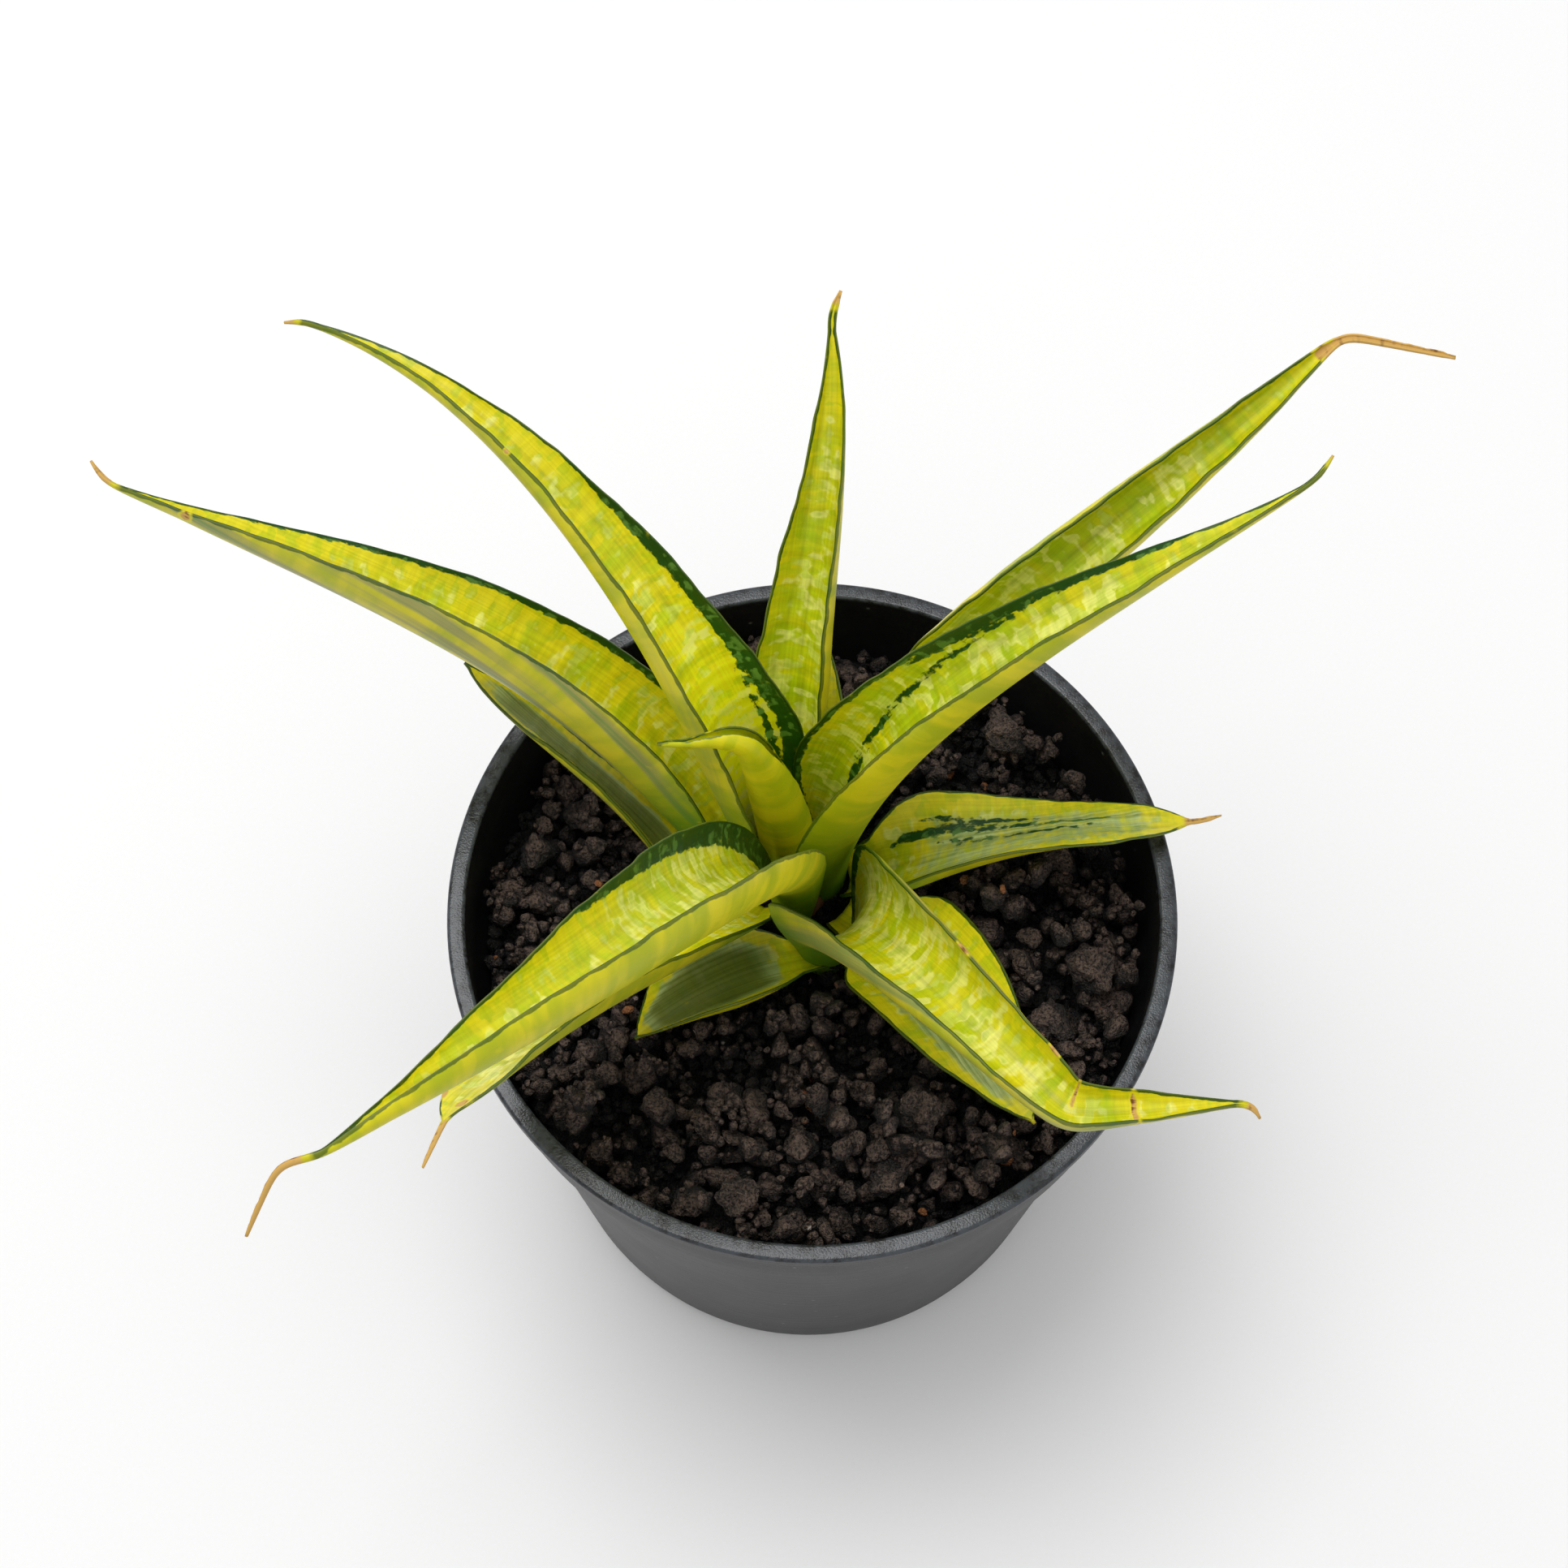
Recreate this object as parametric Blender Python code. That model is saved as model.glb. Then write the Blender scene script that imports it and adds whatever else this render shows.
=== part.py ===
"""Potted snake plant: a rosette of channelled leaves in a round nursery pot filled with volcanic grit.

Lengths are in millimetres and angles in degrees. The origin is the centre of the pot's underside, +Z is up.
Headings are compass angles in the ground plane, counted from +X towards +Y; a rise is the angle above level.
"""

import math
from dataclasses import dataclass

import bmesh
import bpy
import numpy as np
from mathutils import Vector, noise

MM = 0.001
GAP = 0.3
SHARP_EDGE = 35.0

# Nursery pot
POT_HEIGHT = 130.0
RIM_RADIUS = 75.0
LIP_WIDTH = 2.4
LIP_HEIGHT = 3.0
BAND_RADIUS = 72.6
BAND_FLARE = 0.4
BAND_HEIGHT = 22.0
BAND_STEP = 2.2
BAND_CHAMFER = 0.8
BASE_RADIUS = 60.5
BASE_CORNER = 4.0
BASE_CORNER_STEPS = 3
WALL = 1.3
FLOOR = 1.8
FLOOR_CORNER = 1.0
LIP_STEPS = 4
LIP_ARC = 150.0
POT_SEGMENTS = 48
HOLE_COUNT = 6
HOLE_RADIUS = 4.5
HOLE_RING_RADIUS = 42.0
HOLE_SEGMENTS = 12
HOLE_CUTTER_REACH = 1.0

# Soil
SOIL_LEVEL = 114.0
SOIL_CROWN_DIP = 8.0
SOIL_DIP_RADIUS = 18.4
SOIL_BUMP = 0.9
SOIL_BUMP_SPACING = 9.0
SOIL_WALL_GAP = 1.0
SOIL_RINGS = 8

# Loose lumps of grit on the soil: distance from the pot's axis, compass angle, size
LUMPS = (
    (59, -10, 11), (53, -24, 10), (63, -33, 8), (47, -62, 12), (57, -75, 9), (60, -104, 10),
    (50, -128, 9), (56, -163, 11), (61, 164, 9), (54, 17, 9), (60, 46, 10), (48, -93, 8),
)
LUMP_FLATNESS = 0.72
LUMP_ROUGHNESS = 0.16
LUMP_BUMPS = 4.0
LUMP_VARIETY = 7.0
LUMP_SUBDIVISIONS = 2

# Rootstock: a short upright rhizome with roots spreading below it
CROWN = (-2.5, 13.0)
RHIZOME_RADIUS = 6.0
RHIZOME_TOP = 112.5
RHIZOME_LENGTH = 34.0
RHIZOME_TAPER = 0.35
RHIZOME_STEPS = 4
RHIZOME_SIDES = 14
ROOT_COUNT = 5
ROOT_SPREAD = 32.0
ROOT_DEPTH = 37.0
ROOT_RADIUS = 1.6
ROOT_TAPER = 0.6
ROOT_FIRST_DROP = 18.7
ROOT_DROP_STEP = 2.7
ROOT_TURN = 0.3
ROOT_STEPS = 6
ROOT_SIDES = 7
# Each tube's rings start from this direction, which no tube runs along
RING_START = Vector((0.0, 0.3, 1.0))

# Leaves
LEAF_THICKNESS = 2.2
EDGE_THICKNESS = 0.5
THINNING = 0.7
THREAD_WIDTH = 1.2
THREAD_THICKNESS = 0.8
TRACK_STEP = 0.5
CREASE_SOFTNESS = 1.3
BLADE_STATIONS = 17
THREAD_STATIONS = 4
CREASE_STATIONS = (-3.0, -1.0, 1.0, 3.0)
CLOSEST_STATIONS = 1.5
POINTS_ACROSS = 7


@dataclass
class Leaf:
    """One channelled leaf. Triples give a value at the base, half way and at the tip of the blade."""

    name: str
    length: float
    width: float
    heading: tuple
    rise: tuple
    fold: tuple
    roll: tuple
    root: tuple
    base: float = 0.6
    widest: float = 0.35
    taper: float = 1.8
    creases: tuple = ()
    thread: float = 0.0


# Inner whorl first, then the older leaves below it, then the short lowest ones
LEAVES = (
    Leaf("leaf_01_spear", 71, 25, (178, 170, 170), (88, 83, 80), (155, 155, 120), (30, 38, 35),
         root=(5.4, 166, 114), base=0.85, widest=0.2, taper=2,
         creases=((59, 16, -68),), thread=4),
    Leaf("leaf_02_back_left", 165, 36, (154, 138, 157), (89, 46, -4), (80, 87, 64), (5, 24, 49),
         root=(13.2, 141, 114), base=0.55, widest=0.23, taper=1,
         creases=((165, 30, 0),), thread=3),
    Leaf("leaf_03_right", 156, 39, (18, 10, 30), (89, 54, 19), (88, 100, 27), (-22, -12, -61),
         root=(9.5, 20, 114), base=0.62, widest=0.2, taper=1.2,
         creases=((156, 25, 10),), thread=4),
    Leaf("leaf_04_front_left", 178, 32, (-113, -125, -151), (87, 44, -1), (98, 92, 96), (1, 20, 65),
         root=(10.3, -103, 114), base=0.39, widest=0.45, taper=1.7,
         creases=((177, -20, 0), (183, 48, -40)), thread=19),
    Leaf("leaf_05_front_right", 127, 40, (-56, -51, -37), (96, 17, -6), (89, 111, 59), (-8, 3, -31),
         root=(19.7, -66.5, 115), base=0.53, widest=0.2, taper=1.1,
         creases=((93, 48, 0), (128, -75, -30)), thread=4),
    Leaf("leaf_06_far_left", 156, 36, (146, 165, 158), (65, 36, 13), (94, 87, 36), (16, 38, 62),
         root=(18.8, 163, 113), base=0.4, widest=0.24, taper=1.9,
         creases=((156, -35, 10),), thread=4),
    Leaf("leaf_07_back", 111, 23, (89, 79, 96), (68, 53, 39), (84, 87, 66), (0, -22, 7),
         root=(17.2, 94, 113), base=0.5, widest=0.33, taper=1.2,
         creases=((111, -35, 0),), thread=5),
    Leaf("leaf_08_back_right", 157, 24, (42, 25, 39), (78, 46, 26), (81, 112, 90), (-57, 17, -2),
         root=(17.9, 45, 113), base=0.45, widest=0.39, taper=1.8,
         creases=((155, -50, -30),), thread=19),
    Leaf("leaf_09_right_low", 68, 31, (-1, 5, -1), (41, 14, -2), (77, 22, 8), (0, -45, -19),
         root=(17.5, 0, 116), base=0.51, widest=0.2, taper=2.5,
         creases=((69, 18, 5),), thread=6),
    Leaf("leaf_10_left_low", 72, 13, (128, 146, 137), (40, 30, 14), (39, 29, 32), (-4, 48, 0),
         root=(21, -165, 113.6), base=0.51, widest=0.45, taper=2.3),
    Leaf("leaf_11_front_left_low", 101, 22, (-119, -135, -122), (50, 33, 26), (45, 33, 7), (-1, 52, 40),
         root=(15.8, -141, 116.4), base=0.62, widest=0.65, taper=3.2,
         creases=((99, 15, -10),), thread=10),
    Leaf("leaf_12_front_right_low", 57, 31, (-43, -58, -56), (21, 12, 1), (45, 43, 26), (7, 1, 4),
         root=(20, -40, 113.3), base=0.42, widest=0.2, taper=2.1),
    Leaf("leaf_13_front_low", 39, 27, (-159, -149, -139), (25, 11, -2), (54, 52, 34), (9, 23, 27),
         root=(19.4, -95, 112.7), base=0.38, widest=0.48, taper=1.4),
    Leaf("leaf_14_back_low", 32, 13, (97, 91, 92), (45, 33, 22), (69, 62, 37), (0, -19, 6),
         root=(20.5, 70, 114), base=0.6, widest=0.36, taper=1),
)


def remove_all_objects():
    """Start from an empty scene."""
    for obj in list(bpy.data.objects):
        bpy.data.objects.remove(obj, do_unlink=True)


def make_material(name, colour, roughness, metallic=0.0):
    """A Principled material with one colour and finish."""
    material = bpy.data.materials.new(name)
    material.use_nodes = True
    shader = material.node_tree.nodes["Principled BSDF"]
    shader.inputs["Base Color"].default_value = (*colour, 1.0)
    shader.inputs["Roughness"].default_value = roughness
    shader.inputs["Metallic"].default_value = metallic
    return material


def make_object(name, points, faces, material):
    """A mesh object from points in millimetres, shaded smooth apart from its creases."""
    mesh = bpy.data.meshes.new(name)
    mesh.from_pydata([Vector(p) * MM for p in points], [], faces)
    mesh.materials.append(material)
    mesh.shade_smooth()
    mesh.set_sharp_from_angle(angle=math.radians(SHARP_EDGE))
    obj = bpy.data.objects.new(name, mesh)
    bpy.context.scene.collection.objects.link(obj)
    return obj


def turned(profile, segments):
    """Rings of points, one for each (radius, height) of a profile turned about the Z axis."""
    points = []
    for radius, height in profile:
        for i in range(segments):
            angle = 2 * math.pi * i / segments
            points.append((radius * math.cos(angle), radius * math.sin(angle), height))
    return points


def ring_faces(first, second, segments):
    """Quads between two rings of points that start at the indices first and second."""
    faces = []
    for i in range(segments):
        j = (i + 1) % segments
        faces.append((first + i, first + j, second + j, second + i))
    return faces


def turned_solid(profile, segments):
    """A solid turned from a profile that runs from its lowest centre cap out, up and back to a top cap."""
    points = turned(profile, segments)
    faces = [tuple(reversed(range(segments)))]
    for k in range(len(profile) - 1):
        faces += ring_faces(k * segments, (k + 1) * segments, segments)
    last = (len(profile) - 1) * segments
    faces.append(tuple(range(last, last + segments)))
    return points, faces


def body_radius(height):
    """Outer radius of the pot's tapered body at a height."""
    top = POT_HEIGHT - BAND_HEIGHT
    return BASE_RADIUS + (BAND_RADIUS - BAND_STEP - BASE_RADIUS) * height / top


def inner_radius(height):
    """Inner radius of the pot at a height: the tapered body, a step, then the wider band."""
    step = POT_HEIGHT - BAND_HEIGHT + WALL
    if height < step:
        return body_radius(height) - WALL
    return BAND_RADIUS - WALL


def corner_arc(radius, centre, steps, start, end):
    """Points (radius, height) on an arc of a profile."""
    arc = []
    for i in range(steps + 1):
        angle = math.radians(start + (end - start) * i / steps)
        arc.append((centre[0] + radius * math.cos(angle), centre[1] + radius * math.sin(angle)))
    return arc


def build_pot(material):
    """The pot's shell: flat floor, tapered body, a step out to the rim band and a rolled lip."""
    band_bottom = POT_HEIGHT - BAND_HEIGHT
    lip_centre = (RIM_RADIUS - LIP_WIDTH / 2, POT_HEIGHT - LIP_WIDTH / 2)
    corner_centre = (BASE_RADIUS - BASE_CORNER, BASE_CORNER)
    profile = corner_arc(BASE_CORNER, corner_centre, BASE_CORNER_STEPS, -90, 0)
    profile += [
        (body_radius(band_bottom), band_bottom),
        (BAND_RADIUS, band_bottom + BAND_CHAMFER),
        (BAND_RADIUS + BAND_FLARE, POT_HEIGHT - LIP_HEIGHT),
        (RIM_RADIUS, POT_HEIGHT - LIP_HEIGHT),
    ]
    profile += corner_arc(LIP_WIDTH / 2, lip_centre, LIP_STEPS, 0, LIP_ARC)
    profile += [
        (inner_radius(POT_HEIGHT), POT_HEIGHT - LIP_HEIGHT),
        (inner_radius(POT_HEIGHT), band_bottom + WALL + BAND_CHAMFER),
        (inner_radius(band_bottom), band_bottom),
        (inner_radius(FLOOR) - FLOOR_CORNER, FLOOR),
    ]
    pot = make_object("nursery_pot", *turned_solid(profile, POT_SEGMENTS), material)
    cutter = make_holes_cutter(material)
    cut = pot.modifiers.new("drainage_holes", "BOOLEAN")
    cut.operation = "DIFFERENCE"
    cut.solver = "EXACT"
    cut.object = cutter
    return pot


def make_holes_cutter(material):
    """Round drainage holes in a ring, as one hidden cutting object."""
    profile = [(HOLE_RADIUS, -HOLE_CUTTER_REACH), (HOLE_RADIUS, FLOOR + HOLE_CUTTER_REACH)]
    points = []
    faces = []
    for k in range(HOLE_COUNT):
        angle = 2 * math.pi * (k + 0.5) / HOLE_COUNT
        centre = (HOLE_RING_RADIUS * math.cos(angle), HOLE_RING_RADIUS * math.sin(angle))
        hole, hole_faces = turned_solid(profile, HOLE_SEGMENTS)
        first = len(points)
        points += [(x + centre[0], y + centre[1], z) for x, y, z in hole]
        faces += [tuple(first + i for i in face) for face in hole_faces]
    cutter = make_object("drainage_hole_cutter", points, faces, material)
    cutter.hide_render = True
    cutter.display_type = "WIRE"
    return cutter


def soil_height(x, y):
    """Height of the soil's top: level, with a shallow dip at the crown and low bumps."""
    reach = math.hypot(x - CROWN[0], y - CROWN[1]) / SOIL_DIP_RADIUS
    dip = SOIL_CROWN_DIP * math.exp(-reach * reach)
    bump = noise.noise(Vector((x, y, 0)) / SOIL_BUMP_SPACING)
    return SOIL_LEVEL - dip + SOIL_BUMP * bump


def build_soil(material, clearance):
    """The soil: fills the pot to its inner wall, with a rough top and room for the rootstock."""
    bottom = FLOOR + GAP
    band_bottom = POT_HEIGHT - BAND_HEIGHT
    wall = [
        (inner_radius(FLOOR) - FLOOR_CORNER - GAP, bottom),
        (inner_radius(band_bottom) - GAP, band_bottom),
        (inner_radius(POT_HEIGHT) - GAP, band_bottom + WALL + SOIL_WALL_GAP),
    ]
    points = turned(wall, POT_SEGMENTS)
    faces = [tuple(reversed(range(POT_SEGMENTS)))]
    edge_radius = wall[-1][0]
    for k in range(SOIL_RINGS):
        radius = edge_radius * (1 - k / SOIL_RINGS)
        for x, y, _ in turned([(radius, 0)], POT_SEGMENTS):
            points.append((x, y, soil_height(x, y)))
    for k in range(len(wall) - 1 + SOIL_RINGS):
        faces += ring_faces(k * POT_SEGMENTS, (k + 1) * POT_SEGMENTS, POT_SEGMENTS)
    points.append((0, 0, soil_height(0, 0)))
    last = (len(wall) - 1 + SOIL_RINGS) * POT_SEGMENTS
    for i in range(POT_SEGMENTS):
        faces.append((last + i, last + (i + 1) % POT_SEGMENTS, len(points) - 1))
    soil = make_object("soil", points, faces, material)
    cut = soil.modifiers.new("rootstock_room", "BOOLEAN")
    cut.operation = "DIFFERENCE"
    cut.solver = "EXACT"
    cut.object = clearance
    return soil


def tube(path, radii, sides):
    """A closed tube along a path of points, with a flat cap at each end."""
    points = []
    faces = [tuple(reversed(range(sides)))]
    for k, centre in enumerate(path):
        along = (path[min(k + 1, len(path) - 1)] - path[max(k - 1, 0)]).normalized()
        side = along.cross(RING_START).normalized()
        other = along.cross(side)
        for i in range(sides):
            angle = -2 * math.pi * i / sides
            offset = side * math.cos(angle) + other * math.sin(angle)
            points.append(centre + offset * radii[k])
    for k in range(len(path) - 1):
        faces += ring_faces(k * sides, (k + 1) * sides, sides)
    last = (len(path) - 1) * sides
    faces.append(tuple(range(last, last + sides)))
    return points, faces


def root_path(index):
    """Centreline of one root: out from the rhizome, then bending down."""
    angle = 2 * math.pi * (index + ROOT_TURN) / ROOT_COUNT
    outward = Vector((math.cos(angle), math.sin(angle), 0))
    start = Vector((*CROWN, RHIZOME_TOP - ROOT_FIRST_DROP - ROOT_DROP_STEP * index))
    path = []
    for k in range(ROOT_STEPS + 1):
        bend = k / ROOT_STEPS * math.pi / 2
        across = ROOT_SPREAD * math.sin(bend)
        down = ROOT_DEPTH * (1 - math.cos(bend))
        path.append(start + outward * across - Vector((0, 0, down)))
    return path


def build_rootstock(name, material, swell):
    """Rhizome and roots joined into one body; swell thickens everything, for a clearance cutter."""
    centre = Vector((*CROWN, 0))
    rhizome_path = []
    rhizome_radii = []
    for k in range(RHIZOME_STEPS + 1):
        reach = k / RHIZOME_STEPS
        rhizome_path.append(centre + Vector((0, 0, RHIZOME_TOP - RHIZOME_LENGTH * reach)))
        rhizome_radii.append(RHIZOME_RADIUS * (1 - RHIZOME_TAPER * reach * reach) + swell)
    rhizome_path[0] += Vector((0, 0, swell))
    rhizome_path[-1] -= Vector((0, 0, swell))
    points, faces = tube(rhizome_path, rhizome_radii, RHIZOME_SIDES)
    stock = make_object(name, points, faces, material)
    for index in range(ROOT_COUNT):
        path = root_path(index)
        radii = [ROOT_RADIUS * (1 - ROOT_TAPER * k / ROOT_STEPS) + swell for k in range(len(path))]
        path[-1] += (path[-1] - path[-2]).normalized() * swell
        root = make_object(f"{name}_root_{index + 1}", *tube(path, radii, ROOT_SIDES), material)
        root.hide_render = True
        root.display_type = "WIRE"
        union = stock.modifiers.new(f"root_{index + 1}", "BOOLEAN")
        union.operation = "UNION"
        union.solver = "EXACT"
        union.object = root
    return stock


def build_lumps(material):
    """Big loose crumbs of grit lying on the soil, each a separate rough pebble."""
    lumps = []
    for index, (distance, heading, size) in enumerate(LUMPS):
        x = distance * math.cos(math.radians(heading))
        y = distance * math.sin(math.radians(heading))
        ball = bmesh.new()
        bmesh.ops.create_icosphere(ball, subdivisions=LUMP_SUBDIVISIONS, radius=size / 2)
        points = []
        for vert in ball.verts:
            bump = noise.noise(vert.co * LUMP_BUMPS / size + Vector((index * LUMP_VARIETY, 0, 0)))
            point = vert.co * (1 + LUMP_ROUGHNESS * bump)
            points.append(Vector((point.x + x, point.y + y, point.z * LUMP_FLATNESS)))
        faces = [tuple(vert.index for vert in face.verts) for face in ball.faces]
        ball.free()
        lift = max(soil_height(p.x, p.y) - p.z for p in points) + 3 * GAP
        points = [p + Vector((0, 0, lift)) for p in points]
        lumps.append(make_object(f"grit_lump_{index + 1:02d}", points, faces, material))
    return lumps


def along_blade(triple, reach):
    """Smooth curve through the values at the base, half way and the tip; reach runs from 0 to 1."""
    base, middle, tip = triple
    reach = np.minimum(reach, 1.0)
    rest = 1 - reach
    return base * rest * (rest - reach) + 4 * middle * reach * rest + tip * reach * (reach - rest)


def blade_width(leaf, reach):
    """Developed width along the blade: narrow at the base, widest part way, tapering to the tip."""
    grown = leaf.base + (1 - leaf.base) * np.sin(np.pi / 2 * np.clip(reach / leaf.widest, 0, 1))
    tapered = 1 - np.clip((reach - leaf.widest) / (1 - leaf.widest), 0, 1) ** leaf.taper
    width = leaf.width * np.where(reach < leaf.widest, grown, tapered)
    return np.maximum(width, THREAD_WIDTH)


def leaf_track(leaf):
    """Fine centreline of a leaf: distances, points, directions, left and inner-side directions."""
    total = leaf.length + leaf.thread
    along = np.linspace(0, total, int(total / TRACK_STEP) + 1)
    reach = along / leaf.length
    heading = np.radians(along_blade(leaf.heading, reach))
    rise = np.radians(along_blade(leaf.rise, reach))
    for at, turn, lift in leaf.creases:
        past = 1 / (1 + np.exp(-(along - at) / CREASE_SOFTNESS))
        heading = heading + math.radians(turn) * past
        rise = rise + math.radians(lift) * past
    flat = np.cos(rise)
    forward = np.stack([flat * np.cos(heading), flat * np.sin(heading), np.sin(rise)], axis=1)
    left = np.stack([-np.sin(heading), np.cos(heading), 0 * heading], axis=1)
    radius, angle, height = leaf.root
    angle = math.radians(angle)
    start = np.array([CROWN[0] + radius * math.cos(angle), CROWN[1] + radius * math.sin(angle), height])
    steps = (forward[1:] + forward[:-1]) / 2 * np.diff(along)[:, None]
    points = start + np.vstack([np.zeros(3), np.cumsum(steps, axis=0)])
    return along, points, forward, left


def leaf_stations(leaf, along):
    """Indices on the track where the leaf gets a cross-section, closer together at each crease."""
    wanted = list(leaf.length * np.linspace(0, 1, BLADE_STATIONS))
    if leaf.thread:
        wanted += list(leaf.length + leaf.thread * np.linspace(0, 1, THREAD_STATIONS + 1)[1:])
    for at, _, _ in leaf.creases:
        wanted += [at + offset for offset in CREASE_STATIONS]
    spots = sorted({int(round(min(max(w, 0), along[-1]) / TRACK_STEP)) for w in wanted})
    kept = [spots[0]]
    for spot in spots[1:]:
        if (spot - kept[-1]) * TRACK_STEP >= CLOSEST_STATIONS:
            kept.append(spot)
    return kept


def leaf_section(leaf, reach, centre, forward, left):
    """Ring of points round one cross-section: a channel, thick along the keel and thin at its edges."""
    upward = np.cross(forward, left)
    roll = math.radians(float(along_blade(leaf.roll, reach)))
    across = math.cos(roll) * left + math.sin(roll) * upward
    inward = -math.sin(roll) * left + math.cos(roll) * upward
    width = float(blade_width(leaf, np.array(reach)))
    half_angle = math.radians(float(along_blade(leaf.fold, reach)))
    bend = width / 2 / half_angle
    fullness = min(1.0, width / leaf.width) ** THINNING
    keel = max(LEAF_THICKNESS * fullness, THREAD_THICKNESS)
    edge = min(EDGE_THICKNESS, keel / 2)
    spread = np.linspace(-1, 1, POINTS_ACROSS)
    inner = []
    outer = []
    for place in spread:
        angle = half_angle * place
        point = centre + across * bend * math.sin(angle) + inward * bend * (1 - math.cos(angle))
        normal = -math.sin(angle) * across + math.cos(angle) * inward
        thickness = edge + (keel - edge) * (1 - place * place)
        inner.append(point)
        outer.append(point - normal * thickness)
    return inner + outer[::-1]


def build_leaf(leaf, material):
    """Loft one leaf through its cross-sections."""
    along, centres, forward, left = leaf_track(leaf)
    points = []
    stations = leaf_stations(leaf, along)
    for spot in stations:
        points += leaf_section(leaf, along[spot] / leaf.length, centres[spot], forward[spot], left[spot])
    count = 2 * POINTS_ACROSS
    faces = [tuple(range(count))]
    for k in range(len(stations) - 1):
        faces += [tuple(reversed(face)) for face in ring_faces(k * count, (k + 1) * count, count)]
    last = (len(stations) - 1) * count
    faces.append(tuple(reversed(range(last, last + count))))
    return make_object(leaf.name, points, faces, material)


def main():
    remove_all_objects()
    black_plastic = make_material("black_plastic", (0.025, 0.027, 0.03), 0.45)
    grit = make_material("volcanic_grit", (0.022, 0.016, 0.013), 0.95)
    lump_grit = make_material("grit_lump", (0.03, 0.021, 0.017), 0.95)
    root_skin = make_material("root_skin", (0.35, 0.2, 0.09), 0.8)
    leaf_skin = make_material("leaf_skin", (0.55, 0.56, 0.03), 0.4)
    build_pot(black_plastic)
    build_rootstock("rootstock", root_skin, 0.0)
    clearance = build_rootstock("rootstock_clearance", root_skin, GAP)
    clearance.hide_render = True
    clearance.display_type = "WIRE"
    build_soil(grit, clearance)
    build_lumps(lump_grit)
    for leaf in LEAVES:
        build_leaf(leaf, leaf_skin)


if __name__ == "__main__":
    main()
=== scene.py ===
"""Potted snake plant: the looks around its packed frame, laid out as a Blender add-on."""

import math
from dataclasses import dataclass
from functools import partial

import bmesh
import bpy
import numpy as np
from bpy.props import FloatProperty, FloatVectorProperty, IntProperty, PointerProperty
from mathutils import Color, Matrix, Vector


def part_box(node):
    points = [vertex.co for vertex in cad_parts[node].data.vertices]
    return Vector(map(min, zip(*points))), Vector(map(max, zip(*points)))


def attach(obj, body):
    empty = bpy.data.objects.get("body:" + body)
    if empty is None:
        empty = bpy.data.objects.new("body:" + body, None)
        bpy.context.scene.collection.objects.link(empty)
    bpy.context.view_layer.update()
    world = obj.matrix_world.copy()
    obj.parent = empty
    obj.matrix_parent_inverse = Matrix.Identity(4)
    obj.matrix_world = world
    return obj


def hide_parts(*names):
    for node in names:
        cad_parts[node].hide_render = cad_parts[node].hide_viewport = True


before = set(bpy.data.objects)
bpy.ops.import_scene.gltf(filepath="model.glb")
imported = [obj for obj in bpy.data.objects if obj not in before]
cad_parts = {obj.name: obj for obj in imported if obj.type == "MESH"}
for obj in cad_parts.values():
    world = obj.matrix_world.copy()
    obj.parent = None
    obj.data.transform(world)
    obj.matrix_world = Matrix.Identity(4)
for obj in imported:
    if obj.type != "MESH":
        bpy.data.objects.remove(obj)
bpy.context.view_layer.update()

bl_info = {
    "name": "Potted snake plant",
    "version": (1, 0, 0),
    "blender": (4, 5, 0),
    "location": "3D view > sidebar > Snake plant",
    "description": "Builds a variegated snake plant in volcanic grit in a nursery pot",
    "category": "Add Mesh",
}

MM = 0.001
BODY = "root"


def linear(code):
    """Linear RGBA of an sRGB hex colour."""
    parts = [int(code[i:i + 2], 16) / 255 for i in (1, 3, 5)]
    low = [part / 12.92 for part in parts]
    high = [((part + 0.055) / 1.055) ** 2.4 for part in parts]
    return tuple(h if p > 0.04045 else l for p, l, h in zip(parts, low, high)) + (1.0,)


def colour_property(name, description, code):
    """A colour setting with its default given in sRGB hex."""
    return FloatVectorProperty(
        name=name, description=description, default=linear(code)[:3], size=3, min=0, max=1, subtype="COLOR"
    )


def length_property(name, description, default):
    """A size setting in metres."""
    return FloatProperty(name=name, description=description, default=default, unit="LENGTH")


def count_property(name, description, default):
    """A setting of how many there are."""
    return IntProperty(name=name, description=description, default=default, min=0)


# Leaf shapes, in millimetres and degrees, as the frame's leaves have them

LEAF_THICKNESS = 2.2
EDGE_THICKNESS = 0.5
THINNING = 0.7
THREAD_WIDTH = 1.2
THREAD_THICKNESS = 0.8
TRACK_STEP = 0.5
CREASE_SOFTNESS = 1.3
CROWN = (-2.5, 13.0)


@dataclass
class Leaf:
    """One channelled leaf. Triples give a value at the base, half way and at the tip of the blade.

    A stripe is a dark green band: its place across the leaf, from -1, the right margin, to 1, the left one,
    where it starts and where it ends, its half width in millimetres, and the start and end along the blade.
    A scar is a dry, tan patch: its distance along the leaf, its place across, and its half sizes along and
    across in millimetres. Core is how much grey green its middle has; from about 1 it turns deep olive,
    partly the leaf's own darker green and partly painted shade. Yellow, pale and grey say how much of these
    it has, and hem how wide its dark edge is. The glow is how much painted light brightens the inside in its
    lower half.
    """

    node: str
    length: float
    width: float
    heading: tuple
    rise: tuple
    fold: tuple
    roll: tuple
    root: tuple
    base: float = 0.6
    widest: float = 0.35
    taper: float = 1.8
    creases: tuple = ()
    thread: float = 0.0
    stripes: tuple = ()
    core: float = 0.0
    yellow: float = 0.5
    pale: float = 0.5
    grey: float = 0.0
    hem: float = 1.0
    dry_tip: float = 3.0
    painted_glow: float = 0.3
    scars: tuple = ()


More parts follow.
